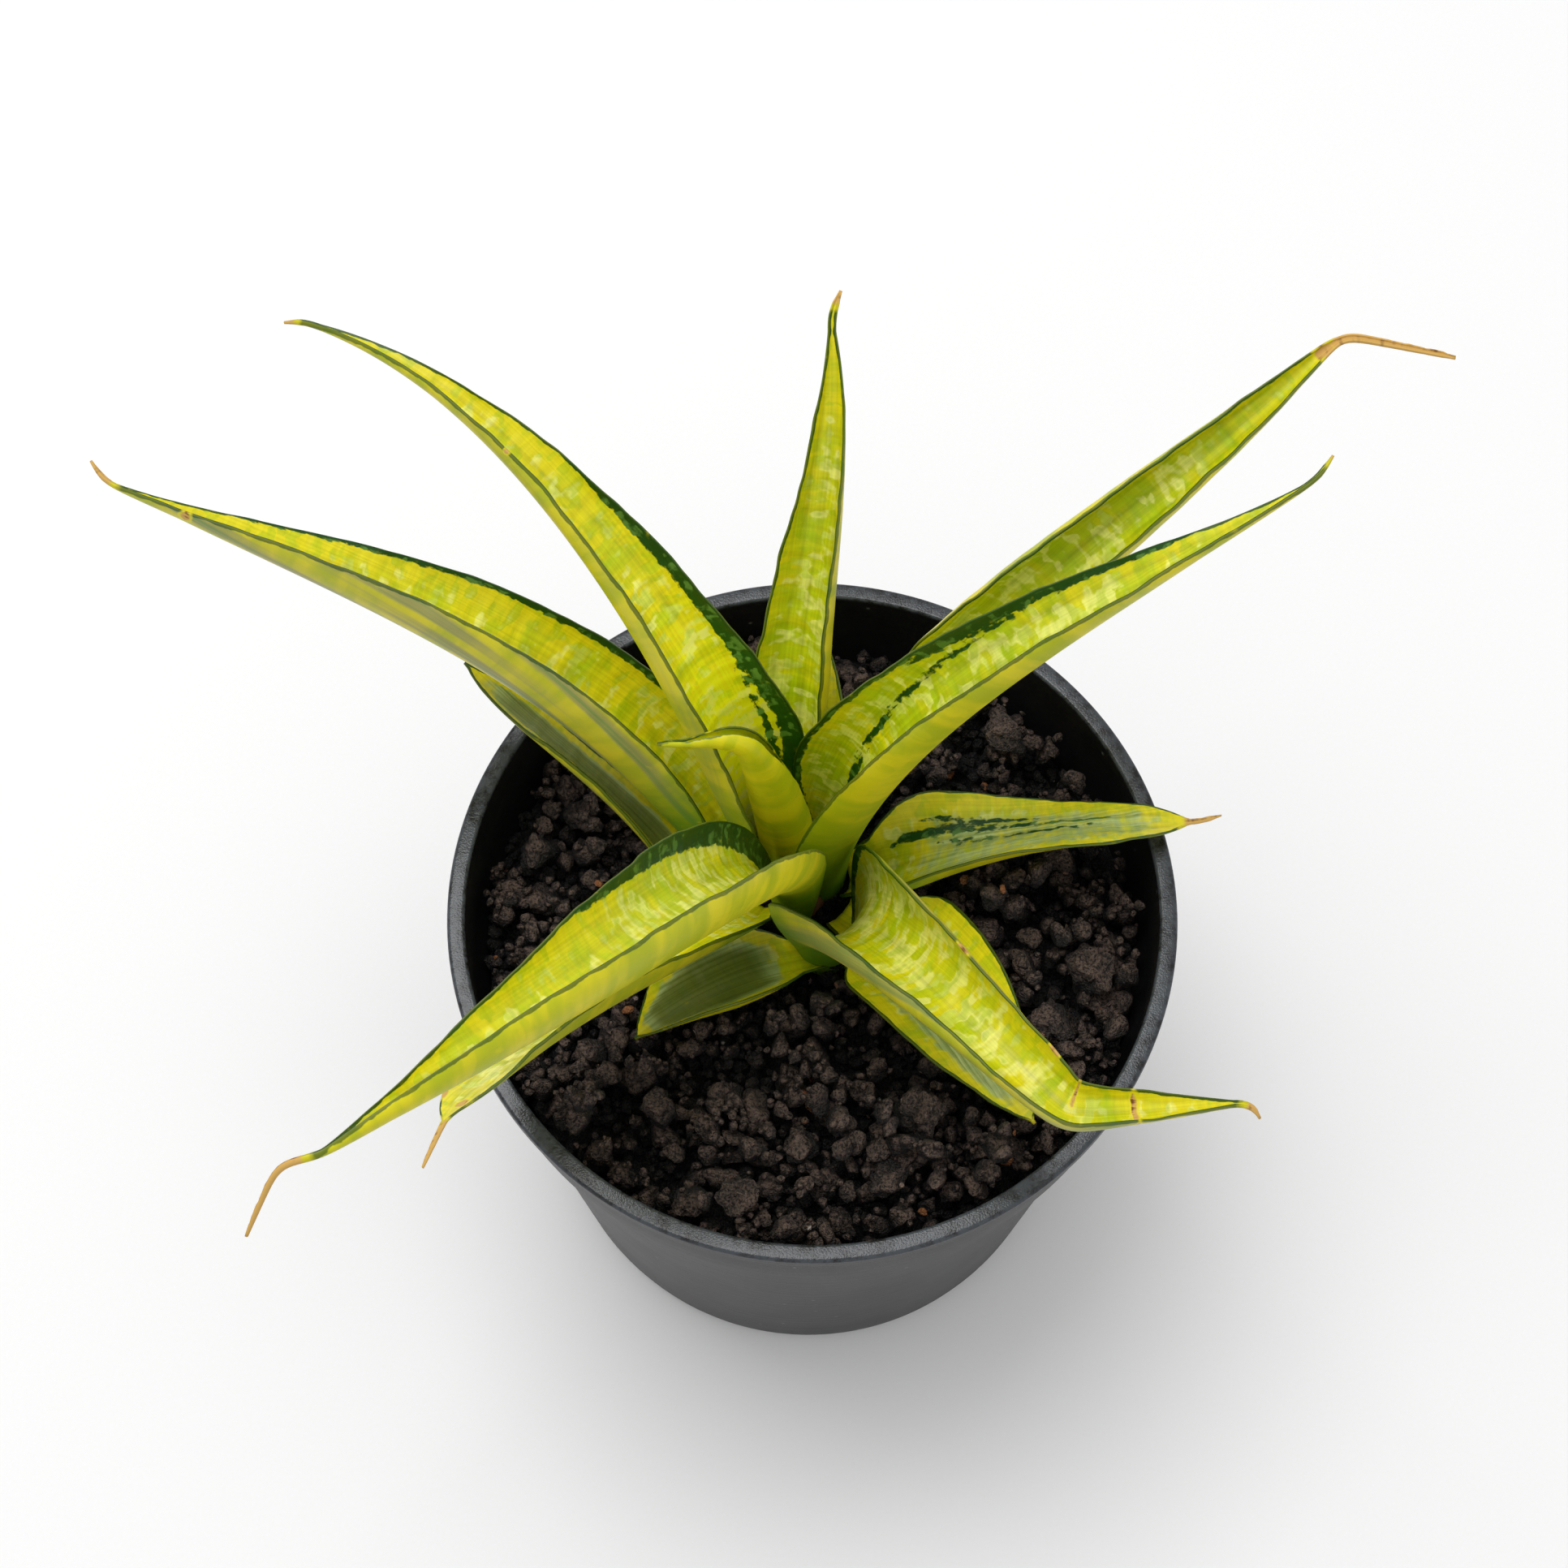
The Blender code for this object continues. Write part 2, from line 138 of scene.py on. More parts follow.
LEAVES = (
    Leaf("leaf_01_spear", 71, 25, (178, 170, 170), (88, 83, 80), (155, 155, 120), (30, 38, 35),
         root=(5.4, 166, 114), base=0.85, widest=0.2, taper=2,
         creases=((59, 16, -68),), thread=4, yellow=0.1, pale=0.25, dry_tip=-10, hem=0.35),
    Leaf("leaf_02_back_left", 165, 36, (154, 138, 157), (89, 46, -4), (80, 87, 64), (5, 24, 49),
         root=(13.2, 141, 114), base=0.55, widest=0.23, taper=1,
         creases=((165, 30, 0),), thread=3,
         stripes=((-1.0, -1.0, 7.0, -0.2, 0.72), (-0.42, -0.72, 1.7, -0.2, 0.42)),
         yellow=0.75, pale=0.45, grey=0.2, dry_tip=2, painted_glow=0.7, scars=((118, 0.97, 0.5, 0.5),)),
    Leaf("leaf_03_right", 156, 39, (18, 10, 30), (89, 54, 19), (88, 100, 27), (-22, -12, -61),
         root=(9.5, 20, 114), base=0.62, widest=0.2, taper=1.2,
         creases=((156, 25, 10),), thread=4,
         stripes=((1.0, 1.0, 1.9, -0.2, 0.95), (0.16, 0.85, 1.25, 0.02, 0.72), (0.85, 0.97, 1.9, 0.4, 0.9)),
         yellow=0.35, pale=0.7, dry_tip=0),
    Leaf("leaf_04_front_left", 178, 32, (-113, -125, -151), (87, 44, -1), (98, 92, 96), (1, 20, 65),
         root=(10.3, -103, 114), base=0.39, widest=0.45, taper=1.7,
         creases=((177, -20, 0), (183, 48, -40)), thread=19,
         stripes=((-1.0, -1.0, 8.6, -0.2, 0.7),), yellow=0.45, pale=0.6, dry_tip=2, painted_glow=0.0),
    Leaf("leaf_05_front_right", 127, 40, (-56, -51, -37), (96, 17, -6), (89, 111, 59), (-8, 3, -31),
         root=(19.7, -66.5, 115), base=0.53, widest=0.2, taper=1.1,
         creases=((93, 48, 0), (128, -75, -30)), thread=4,
         stripes=((-1.0, -1.0, 3.4, -0.2, 0.5), (1.0, 1.0, 2.8, -0.2, 0.42)),
         yellow=0.6, pale=0.9, grey=0.55, dry_tip=3, painted_glow=0.0,
         scars=((93, 0.62, 0.8, 3.5), (105.5, 0.0, 0.6, 5.0), (60, 0.98, 1.4, 0.8), (84, 0.98, 1.2, 0.7))),
    Leaf("leaf_06_far_left", 156, 36, (146, 165, 158), (65, 36, 13), (94, 87, 36), (16, 38, 62),
         root=(18.8, 163, 113), base=0.4, widest=0.24, taper=1.9,
         creases=((156, -35, 10),), thread=4,
         stripes=((-1.0, -1.0, 1.9, 0.1, 0.95), (1.0, 1.0, 1.6, -0.1, 0.55)),
         yellow=0.75, pale=0.3, grey=0.9, dry_tip=5, scars=((139, 0.8, 0.9, 1.3),)),
    Leaf("leaf_07_back", 111, 23, (89, 79, 96), (68, 53, 39), (84, 87, 66), (0, -22, 7),
         root=(17.2, 94, 113), base=0.5, widest=0.33, taper=1.2,
         creases=((111, -35, 0),), thread=5,
         stripes=((-1.0, -1.0, 1.5, -0.2, 0.7),), yellow=0.35, pale=0.65, dry_tip=1),
    Leaf("leaf_08_back_right", 157, 24, (42, 25, 39), (78, 46, 26), (81, 112, 90), (-57, 17, -2),
         root=(17.9, 45, 113), base=0.45, widest=0.39, taper=1.8,
         creases=((155, -50, -30),), thread=19,
         stripes=((0.98, 0.98, 2.3, 0.35, 1.0), (-0.5, -0.92, 0.9, 0.4, 0.8)),
         core=0.15, yellow=0.3, pale=0.5, dry_tip=7, painted_glow=0.3, scars=((151, 0.0, 2.0, 1.8),)),
    Leaf("leaf_09_right_low", 68, 31, (-1, 5, -1), (41, 14, -2), (77, 22, 8), (0, -45, -19),
         root=(17.5, 0, 116), base=0.51, widest=0.2, taper=2.5,
         creases=((69, 18, 5),), thread=6,
         stripes=((0.45, 0.3, 1.2, 0.0, 0.9), (0.2, 0.05, 0.9, 0.15, 0.85), (0.62, 0.45, 0.8, 0.1, 0.7)),
         core=0.72, yellow=0.6, pale=0.4, dry_tip=5, painted_glow=0.1),
    Leaf("leaf_10_left_low", 72, 13, (128, 146, 137), (40, 30, 14), (39, 29, 32), (-4, 48, 0),
         root=(21, -165, 113.6), base=0.51, widest=0.45, taper=2.3, core=1.5, yellow=0.8, pale=0.2, painted_glow=-0.2,
         grey=0.6, dry_tip=1),
    Leaf("leaf_11_front_left_low", 101, 22, (-119, -135, -122), (50, 33, 26), (45, 33, 7), (-1, 52, 40),
         root=(15.8, -141, 116.4), base=0.62, widest=0.65, taper=3.2,
         creases=((99, 15, -10),), thread=10, yellow=0.8, pale=0.6, dry_tip=3, grey=0.4,
         scars=((96, 0.3, 1.2, 1.8), (93, -0.9, 1.4, 0.9))),
    Leaf("leaf_12_front_right_low", 57, 31, (-43, -58, -56), (21, 12, 1), (45, 43, 26), (7, 1, 4),
         root=(20, -40, 113.3), base=0.42, widest=0.2, taper=2.1, core=1.15, yellow=0.75, pale=0.2,
         dry_tip=3),
    Leaf("leaf_13_front_low", 39, 27, (-159, -149, -139), (25, 11, -2), (54, 52, 34), (9, 23, 27),
         root=(19.4, -95, 112.7), base=0.38, widest=0.48, taper=1.4, core=1.6, yellow=0.6, pale=0.1,
         painted_glow=0.0, dry_tip=1.5),
    Leaf("leaf_14_back_low", 32, 13, (97, 91, 92), (45, 33, 22), (69, 62, 37), (0, -19, 6),
         root=(20.5, 70, 114), base=0.6, widest=0.36, taper=1, core=0.3, yellow=0.6, pale=0.3,
         dry_tip=1),
)


def along_blade(triple, reach):
    """Smooth curve through the values at the base, half way and the tip; reach runs from 0 to 1."""
    base, middle, tip = triple
    reach = np.clip(reach, 0.0, 1.0)
    rest = 1 - reach
    return base * rest * (rest - reach) + 4 * middle * reach * rest + tip * reach * (reach - rest)


def blade_width(leaf, reach):
    """Developed width along the blade: narrow at the base, widest part way, tapering to the tip."""
    grown = leaf.base + (1 - leaf.base) * np.sin(np.pi / 2 * np.clip(reach / leaf.widest, 0, 1))
    tapered = 1 - np.clip((reach - leaf.widest) / (1 - leaf.widest), 0, 1) ** leaf.taper
    width = leaf.width * np.where(reach < leaf.widest, grown, tapered)
    return np.maximum(width, THREAD_WIDTH)


def leaf_track(leaf):
    """Fine centreline of a leaf: distances, points, forward and left directions."""
    total = leaf.length + leaf.thread
    along = np.linspace(0, total, int(total / TRACK_STEP) + 1)
    reach = along / leaf.length
    heading = np.radians(along_blade(leaf.heading, reach))
    rise = np.radians(along_blade(leaf.rise, reach))
    for at, turn, lift in leaf.creases:
        past = 1 / (1 + np.exp(-(along - at) / CREASE_SOFTNESS))
        heading = heading + math.radians(turn) * past
        rise = rise + math.radians(lift) * past
    flat = np.cos(rise)
    forward = np.stack([flat * np.cos(heading), flat * np.sin(heading), np.sin(rise)], axis=1)
    left = np.stack([-np.sin(heading), np.cos(heading), 0 * heading], axis=1)
    radius, angle, height = leaf.root
    angle = math.radians(angle)
    start = np.array([CROWN[0] + radius * math.cos(angle), CROWN[1] + radius * math.sin(angle), height])
    steps = (forward[1:] + forward[:-1]) / 2 * np.diff(along)[:, None]
    points = start + np.vstack([np.zeros(3), np.cumsum(steps, axis=0)])
    return along, points, forward, left


def smooth_step(low, high, value):
    """0 below low, 1 above high and a smooth change between them."""
    t = np.clip((value - low) / (high - low), 0, 1)
    return t * t * (3 - 2 * t)


def wander(along, seed, lengths, sizes):
    """A wavering line: a sum of waves of the given lengths and sizes, with phases drawn from the seed."""
    draw = np.random.default_rng(seed)
    total = np.zeros_like(along)
    for length, size in zip(lengths, sizes):
        total = total + size * np.sin(2 * np.pi * along / length + draw.uniform(0, 2 * np.pi))
    return total


def mesh_object(name, points, faces, material, attributes=None):
    """A smooth mesh object from points in millimetres, faces, and named triples of values of its points."""
    mesh = bpy.data.meshes.new(name)
    mesh.from_pydata((np.asarray(points) * MM).tolist(), [], faces)
    mesh.materials.append(material)
    mesh.shade_smooth()
    for key, values in (attributes or {}).items():
        layer = mesh.attributes.new(key, "FLOAT_VECTOR", "POINT")
        layer.data.foreach_set("vector", np.asarray(values, np.float32).ravel())
    obj = bpy.data.objects.new(name, mesh)
    bpy.context.scene.collection.objects.link(obj)
    return obj


def ring_faces(rings, count):
    """Quads between each ring of count points and the next."""
    faces = []
    for k in range(rings - 1):
        for i in range(count):
            j = (i + 1) % count
            faces.append((k * count + i, k * count + j, (k + 1) * count + j, (k + 1) * count + i))
    return faces


def closed_faces(rings, count):
    """The quads between rings and a cap at each end."""
    last = (rings - 1) * count
    caps = [tuple(reversed(range(count))), tuple(range(last, last + count))]
    return caps[:1] + ring_faces(rings, count) + caps[1:]


def turned(profile, segments):
    """Points of a profile of radii and heights, turned round the upright axis ring by ring."""
    turns = np.linspace(0, 2 * np.pi, segments, endpoint=False)
    return [(r * math.cos(t), r * math.sin(t), z) for r, z in profile for t in turns]


def arc(centre, radius, start, end, steps):
    """Points (radius, height) along an arc of a profile."""
    turns = np.radians(np.linspace(start, end, steps + 1))
    return [(centre[0] + radius * math.cos(t), centre[1] + radius * math.sin(t)) for t in turns]


def add_node(tree, kind, inputs=None, **settings):
    """Add a shader node with its settings; each input, by name or number, is linked or set."""
    made = tree.nodes.new("ShaderNode" + kind)
    for key, value in settings.items():
        setattr(made, key, value)
    for key, value in (inputs or {}).items():
        socket = next(s for i, s in enumerate(made.inputs) if s.enabled and key in (i, s.name))
        if isinstance(value, bpy.types.Node):
            value = next(s for s in value.outputs if s.enabled)
        if isinstance(value, bpy.types.NodeSocket):
            tree.links.new(value, socket)
        else:
            socket.default_value = (*value, 1.0) if isinstance(value, Color) else value
    return made


COLOURS = {"data_type": "RGBA"}
EASED = {"interpolation_type": "SMOOTHSTEP"}
TIMES = {"operation": "MULTIPLY"}
TIMES_PLUS = {"operation": "MULTIPLY_ADD"}


def new_material(name):
    """A material with an empty tree, and that tree."""
    material = bpy.data.materials.new(name)
    material.use_nodes = True
    material.node_tree.nodes.clear()
    return material, material.node_tree


def lay_over(node, under, over, total, span, terms=(), most=1.0, least=0.0, share=None):
    """Mix a colour over another, more so as a total plus its weighted terms passes along a span."""
    for field, weight in terms:
        total = node("Math", {0: field, 1: weight, 2: total}, **TIMES_PLUS)
    cover = node("MapRange", {0: total, 1: span[0], 2: span[1], 3: least, 4: most}, **EASED)
    if share is not None:
        cover = node("Math", {0: cover, 1: share}, **TIMES)
    return node("Mix", {"Factor": cover, "A": under, "B": over}, **COLOURS)


# Settings

POT_LOW, POT_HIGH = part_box("nursery_pot")
SOIL_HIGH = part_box("soil")[1]


class StageSettings(bpy.types.PropertyGroup):
    """Floor, light and camera."""

    floor_colour: colour_property("Floor", "Colour of the floor and backdrop", "#f1f1f1")
    key_power: FloatProperty(
        name="Key light", description="Power of the softbox", default=11.8, min=0, unit="POWER"
    )
    sky: FloatProperty(name="Surroundings", description="Strength of the even light", default=0.73, min=0)
    lens: FloatProperty(
        name="Lens", description="Focal length of the camera", default=60.56, min=1, unit="CAMERA"
    )


class PotSettings(bpy.types.PropertyGroup):
    """Nursery pot."""

    height: length_property("Height", "Height", POT_HIGH.z)
    radius: length_property("Rim radius", "Outer radius of the lip", POT_HIGH.x)
    lip_width: length_property("Lip width", "Width of the lip", 0.0024)
    band_height: length_property("Band", "Height of the rim band", 0.022)
    base_radius: length_property("Base radius", "Radius of the base", 0.0605)
    wall: length_property("Wall", "Thickness of the wall", 0.0013)
    plastic: colour_property("Plastic", "Colour of the black plastic", "#0f0f10")
    haze: colour_property("Haze", "Colour of the hazy patches of the plastic", "#19191b")
    dust: colour_property("Dust", "Colour of the dust specks", "#646567")
    # The lip's grey is partly wear and partly a painted sheen standing in for the softbox's reflection
    scuff_and_sheen: colour_property("Scuff", "Colour of the scuffed lip", "#3f4348")


class GritSettings(bpy.types.PropertyGroup):
    """Volcanic grit."""

    level: length_property("Level", "Height of its top", SOIL_HIGH.z)
    coarse: count_property("Coarse", "Stones of 6 to 9 mm", 120)
    gravel: count_property("Gravel", "Stones of 3 to 6 mm", 600)
    grit: count_property("Grit", "Stones of 2 to 4 mm", 2000)
    crumbs: count_property("Crumbs", "Crumbs of 1 to 2 mm", 2400)
    # Dark and light grit are shaded and lit copies: dark for the pores and for the painted shade low on each
    # stone and deep in the heap, light for the faces in painted light
    dark: colour_property("Dark grit", "Colour in the pores", "#0b0908")
    light: colour_property("Light grit", "Colour of dry faces", "#655349")
    # Pale flecks are partly mineral and partly painted glints
    pale_fleck_and_glint: colour_property("Pale fleck", "Colour of the pale mineral flecks", "#b3aca2")
    rusty_fleck: colour_property("Rusty fleck", "Colour of the rusty flecks", "#7a4526")
    bark: colour_property("Bark", "Colour of the few bark chips", "#c08350")


class LeafSettings(bpy.types.PropertyGroup):
    """Leaves."""

    lime: colour_property("Lime", "Lime green of the blade", "#a9be0a")
    yellow: colour_property("Yellow", "Yellow of the blade", "#ddd110")
    cream: colour_property("Cream", "Pale flecks", "#ebec82")
    green: colour_property("Dark green", "Margins and stripes", "#17430a")
    grey_green: colour_property("Grey green", "Paler streaks of the grey green middle", "#b0c184")
    belly: colour_property("Belly", "Yellow of the underside", "#d6cb16")
    olive: colour_property("Olive", "Olive bands of the underside", "#afb60e")
    # Deep green and foot: partly the leaves' own colours, partly painted shade on the low leaves and deep in
    # the crown
    deep: colour_property("Deep green", "Middle of the darkest leaf", "#4b5a10")
    foot: colour_property("Foot", "Vivid green of the feet", "#5d9c12")
    chip: colour_property("Chip", "Lighter chips in the dark stripes", "#6d9a45")
    streak: colour_property("Streak", "Darker streaks of the grey green middle", "#74904a")
    haze: colour_property("Haze", "Grey olive haze of the older undersides", "#8f8c5e")
    tan: colour_property("Tan", "Dry tips and scars", "#c8a056")
    brown: colour_property("Brown", "Knots and streaks of the dry tips", "#6d431c")


# Stage

FLOOR_RADIUS = 3000.0
FLOOR_BEND = 600.0
FLOOR_SEGMENTS = 128
FIBRE_SHADE = 0.97
SOFTBOX_SIZE = 0.8
SOFTBOX_PLACE = (-0.27, 0.27, 1.5)
SOFTBOX_TARGET = (0, 0, 0.1)
CAMERA_PLACE = (-0.0058, -0.20152, 0.63331)
CAMERA_TILT = 24.4
SENSOR_WIDTH = 36


class SNAKEPLANT_OT_stage(bpy.types.Operator):
    """Add the pale floor, the soft light and the camera"""

    bl_idname = "snake_plant.stage"
    bl_label = "Stage"

    def execute(self, context):
        settings = context.scene.snake_stage
        scene = context.scene
        scene.view_settings.view_transform = "Standard"
        self.add_floor(settings)
        self.add_light("softbox", settings.key_power, SOFTBOX_SIZE, SOFTBOX_PLACE, SOFTBOX_TARGET)
        world = bpy.data.worlds.new("studio")
        world.use_nodes = True
        background = world.node_tree.nodes["Background"]
        background.inputs["Color"].default_value = (1, 1, 1, 1)
        background.inputs["Strength"].default_value = settings.sky
        scene.world = world
        data = bpy.data.cameras.new("camera")
        data.lens = settings.lens
        data.sensor_width = SENSOR_WIDTH
        camera = bpy.data.objects.new("camera", data)
        camera.location = CAMERA_PLACE
        camera.rotation_euler = (math.radians(CAMERA_TILT), 0, 0)
        scene.collection.objects.link(camera)
        scene.camera = camera
        return {"FINISHED"}

    def add_floor(self, settings):
        """A wide, round floor whose rim curves up, so no corner or hard horizon shows from any side."""
        # Backdrop paper: matt, so it shows soft shadows and no highlight. Its real fibres, of some 0.05 mm,
        # are too fine to show, so they are drawn 1 mm wide
        material, tree = new_material("matt_white_backdrop_paper")
        node = partial(add_node, tree)
        place = node("TexCoord").outputs["Object"]
        fibre = node("TexNoise", {"Vector": place, "Scale": 1 / MM, "Detail": 3})
        tone = node("Mix", {"Factor": fibre, "A": settings.floor_colour,
                            "B": settings.floor_colour * FIBRE_SHADE}, **COLOURS)
        shader = node("BsdfPrincipled", {"Base Color": tone, "Roughness": 0.9})
        node("OutputMaterial", {"Surface": shader})
        profile = [(FLOOR_RADIUS * share, 0.0) for share in (0.1, 0.4, 1.0)]
        profile += arc((FLOOR_RADIUS, FLOOR_BEND), FLOOR_BEND, -90, -10, 16)[1:]
        points = turned(profile, FLOOR_SEGMENTS)
        faces = [tuple(range(FLOOR_SEGMENTS))]
        faces += [tuple(reversed(face)) for face in ring_faces(len(profile), FLOOR_SEGMENTS)]
        mesh_object("floor", points, faces, material)

    def add_light(self, name, power, size, place, target):
        """A square area light that faces a target point."""
        data = bpy.data.lights.new(name, "AREA")
        data.energy = power
        data.size = size
        light = bpy.data.objects.new(name, data)
        light.location = place
        light.rotation_euler = (Vector(place) - Vector(target)).to_track_quat("Z", "Y").to_euler()
        bpy.context.scene.collection.objects.link(light)


# Pot

DRAIN_HOLES = 6
DRAIN_RADIUS = 4.5
DRAIN_RING = 42.0
POT_SEGMENTS = 192
NECK_STEP = 2.2
FLOOR_THICKNESS = 1.8
SHARP_ANGLE = 40


def plastic_material(settings):
    """Injection-moulded polypropylene: satin black, so the lip and wall catch soft, broken highlights.

    Haze in patches of 20 mm, flow rings 2 mm apart and dust specks some 8 mm apart. The mould's real grain,
    of some 0.1 mm, is too fine to show, so it is drawn at 0.4 mm. The lip's top is glossier, and lightened to
    grey in marks of 3 mm: partly wear, partly a painted sheen standing in for the softbox's reflection.
    """
    material, tree = new_material("satin_black_polypropylene")
    node = partial(add_node, tree)
    place = node("TexCoord").outputs["Object"]
    haze = node("TexNoise", {"Vector": place, "Scale": 1 / (20 * MM), "Detail": 5, "Roughness": 0.6})
    height = node("SeparateXYZ", {"Vector": place}).outputs["Z"]
    rings = node("TexNoise", {"W": height, "Scale": 1 / (2 * MM), "Detail": 2}, noise_dimensions="1D")
    grain = node("TexNoise", {"Vector": place, "Scale": 1 / (0.4 * MM), "Detail": 2})
    dust = node("TexVoronoi", {"Vector": place, "Scale": 1 / (8 * MM)})
    speck = node("MapRange", {"Value": dust, "From Min": 0.07, "From Max": 0.03})
    tone = node("Mix", {"Factor": haze, "A": settings.plastic, "B": settings.haze}, **COLOURS)
    dusty = node("Mix", {"Factor": speck, "A": tone, "B": settings.dust}, **COLOURS)
    lip = node("MapRange", {"Value": height, "From Min": settings.height - 1.1 * MM,
                            "From Max": settings.height - 0.3 * MM})
    # Painted sheen: the lip's top is lightened to grey in marks, partly wear, partly standing in for the
    # softbox's reflection
    scuff_sheen_noise = node("TexNoise", {"Vector": place, "Scale": 1 / (3 * MM), "Detail": 4, "Roughness": 0.7})
    scuffed_and_sheened = lay_over(node, dusty, settings.scuff_and_sheen, scuff_sheen_noise, (0.3, 0.6), share=lip)
    gloss = node("MapRange", {"Value": haze, "To Min": 0.38, "To Max": 0.5})
    gloss = node("Math", {0: lip, 1: -0.25, 2: gloss}, **TIMES_PLUS)
    relief = node("Math", {0: rings, 1: grain}, operation="ADD")
    bump = node("Bump", {"Height": relief, "Strength": 0.3, "Distance": 0.2 * MM})
    shader = node("BsdfPrincipled", {"Base Color": scuffed_and_sheened, "Roughness": gloss, "Normal": bump, "IOR": 1.49,
                                     "Specular IOR Level": 0.35})
    node("OutputMaterial", {"Surface": shader})
    return material


class SNAKEPLANT_OT_pot(bpy.types.Operator):
    """Build the nursery pot with its lip, rim band, foot and drainage holes"""

    bl_idname = "snake_plant.pot"
    bl_label = "Nursery pot"

    def execute(self, context):
        settings = context.scene.snake_pot
        material = plastic_material(settings)
        profile = self.profile(settings)
        faces = closed_faces(len(profile), POT_SEGMENTS)
        pot = mesh_object("pot_shell", turned(profile, POT_SEGMENTS), faces, material)
        self.drill(pot)
        pot.data.set_sharp_from_angle(angle=math.radians(SHARP_ANGLE))
        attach(pot, BODY)
        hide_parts("nursery_pot")
        return {"FINISHED"}

    def profile(self, settings):
        """The wall's section: up the outside, over the lip, down the inside and across the floor."""
        height = settings.height / MM
        radius = settings.radius / MM
        lip = settings.lip_width / MM
        wall = settings.wall / MM
        base = settings.base_radius / MM
        band_low = height - settings.band_height / MM
        band = radius - lip
        neck = band - NECK_STEP
        points = [(base - 12.0, 1.2), (base - 10.5, 0.0)]
        points += arc((base - 3.0, 3.0), 3.0, -90, -5, 8)
        for step in np.linspace(0.06, 0.94, 12):
            z = band_low * step
            points.append((base + (neck - base) * step, z))
        points += [(neck, band_low - 0.5), (neck + 0.4, band_low)]
        points += arc((band - 0.7, band_low + 0.9), 0.7, -90, 0, 4)
        points += [(band + 0.05, band_low + 6.0), (band + 0.1, height - 10.4)]
        points += arc((band + 0.1, height - 9.9), 0.5, -90, 0, 4)
        points += [(band + 0.6, height - 8.0), (band + 0.6, height - 3.2)]
        points += arc((radius - 0.6, height - 2.4), 0.6, -90, 0, 4)
        points += [(radius, height - 1.8), (radius, height - 1.0)]
        points += arc((radius - 0.8, height - 0.8), 0.8, 0, 90, 6)
        points += [(radius - lip * 0.5, height)]
        points += arc((band - wall + 0.7, height - 0.7), 0.7, 90, 180, 5)
        points += [(band - wall, height - 6.0), (band - wall, band_low + wall + 1.2)]
        points += [(neck - wall, band_low - 0.6)]
        points += [(base + (neck - base) * 0.5 - wall, band_low * 0.5)]
        points += arc((base - wall - FLOOR_THICKNESS, 2 * FLOOR_THICKNESS), FLOOR_THICKNESS, 0, -90, 4)
        return points

    def drill(self, pot):
        """Cut the ring of drainage holes through the floor."""
        cutter_mesh = bmesh.new()
        for k in range(DRAIN_HOLES):
            angle = 2 * math.pi * (k + 0.5) / DRAIN_HOLES
            made = bmesh.ops.create_cone(
                cutter_mesh, cap_ends=True, segments=32, depth=0.01,
                radius1=DRAIN_RADIUS * MM, radius2=DRAIN_RADIUS * MM,
            )
            offset = Vector((math.cos(angle), math.sin(angle), 0)) * DRAIN_RING * MM
            bmesh.ops.translate(cutter_mesh, verts=made["verts"], vec=offset)
        mesh = bpy.data.meshes.new("drill")
        cutter_mesh.to_mesh(mesh)
        cutter_mesh.free()
        cutter = bpy.data.objects.new("drill", mesh)
        bpy.context.scene.collection.objects.link(cutter)
        cut = pot.modifiers.new("drainage", "BOOLEAN")
        cut.object = cutter
        cut.operation = "DIFFERENCE"
        graph = bpy.context.evaluated_depsgraph_get()
        drilled = bpy.data.meshes.new_from_object(pot.evaluated_get(graph), depsgraph=graph)
        pot.modifiers.clear()
        pot.data = drilled
        bpy.data.objects.remove(cutter)


# Grit, in millimetres

GRIT_SEED = 11
GRID = 0.75
MARGIN_CELLS = 3
BED_DEPTH = 8.2
BED_INSET = 2.6
BED_FOOT = 57.5
BED_SEGMENTS = 120
BED_RINGS = 50
DIP_DEPTH = 6.0
DIP_RADIUS = 18.4
WALL_GAP = 1.0
LEAF_ROOM = 0.2
CROWN_CLEAR = 17.0
CROWN_CRUMB = 1.2
BARK_SHARE = 0.008
BARK_SIZE = 2.0
# Stones share a few shapes, and each falls several times beside its place and stays where it lies lowest
CRUMB_KINDS = 24
STONE_TRIES = 7
STONE_REACH = 1.25
STONE_SCATTER = 0.6
STONE_NEST = 0.8
STONE_TOP = 0.95
STONE_CUTS = 10
STONE_KNOBS = 0.9
LUMP_CUTS = 16
LUMP_KNOBS = 1.3
KNOB_PITCHES = (3.5, 8.0, 15.0)
KNOB_SIZES = (0.036, 0.024, 0.017)
KNOB_WAVES = 6
# The loose stones in the order they fall: name, count setting, least and greatest radius, and fineness
LOOSE_STONES = (
    ("grit_stones", "grit", (1.1, 2.0), 2),
    ("coarse_stones", "coarse", (2.7, 4.3), 4),
    ("gravel_stones", "gravel", (1.7, 3.1), 3),
    ("grit_crumbs", "crumbs", (0.5, 1.2), 2),
)


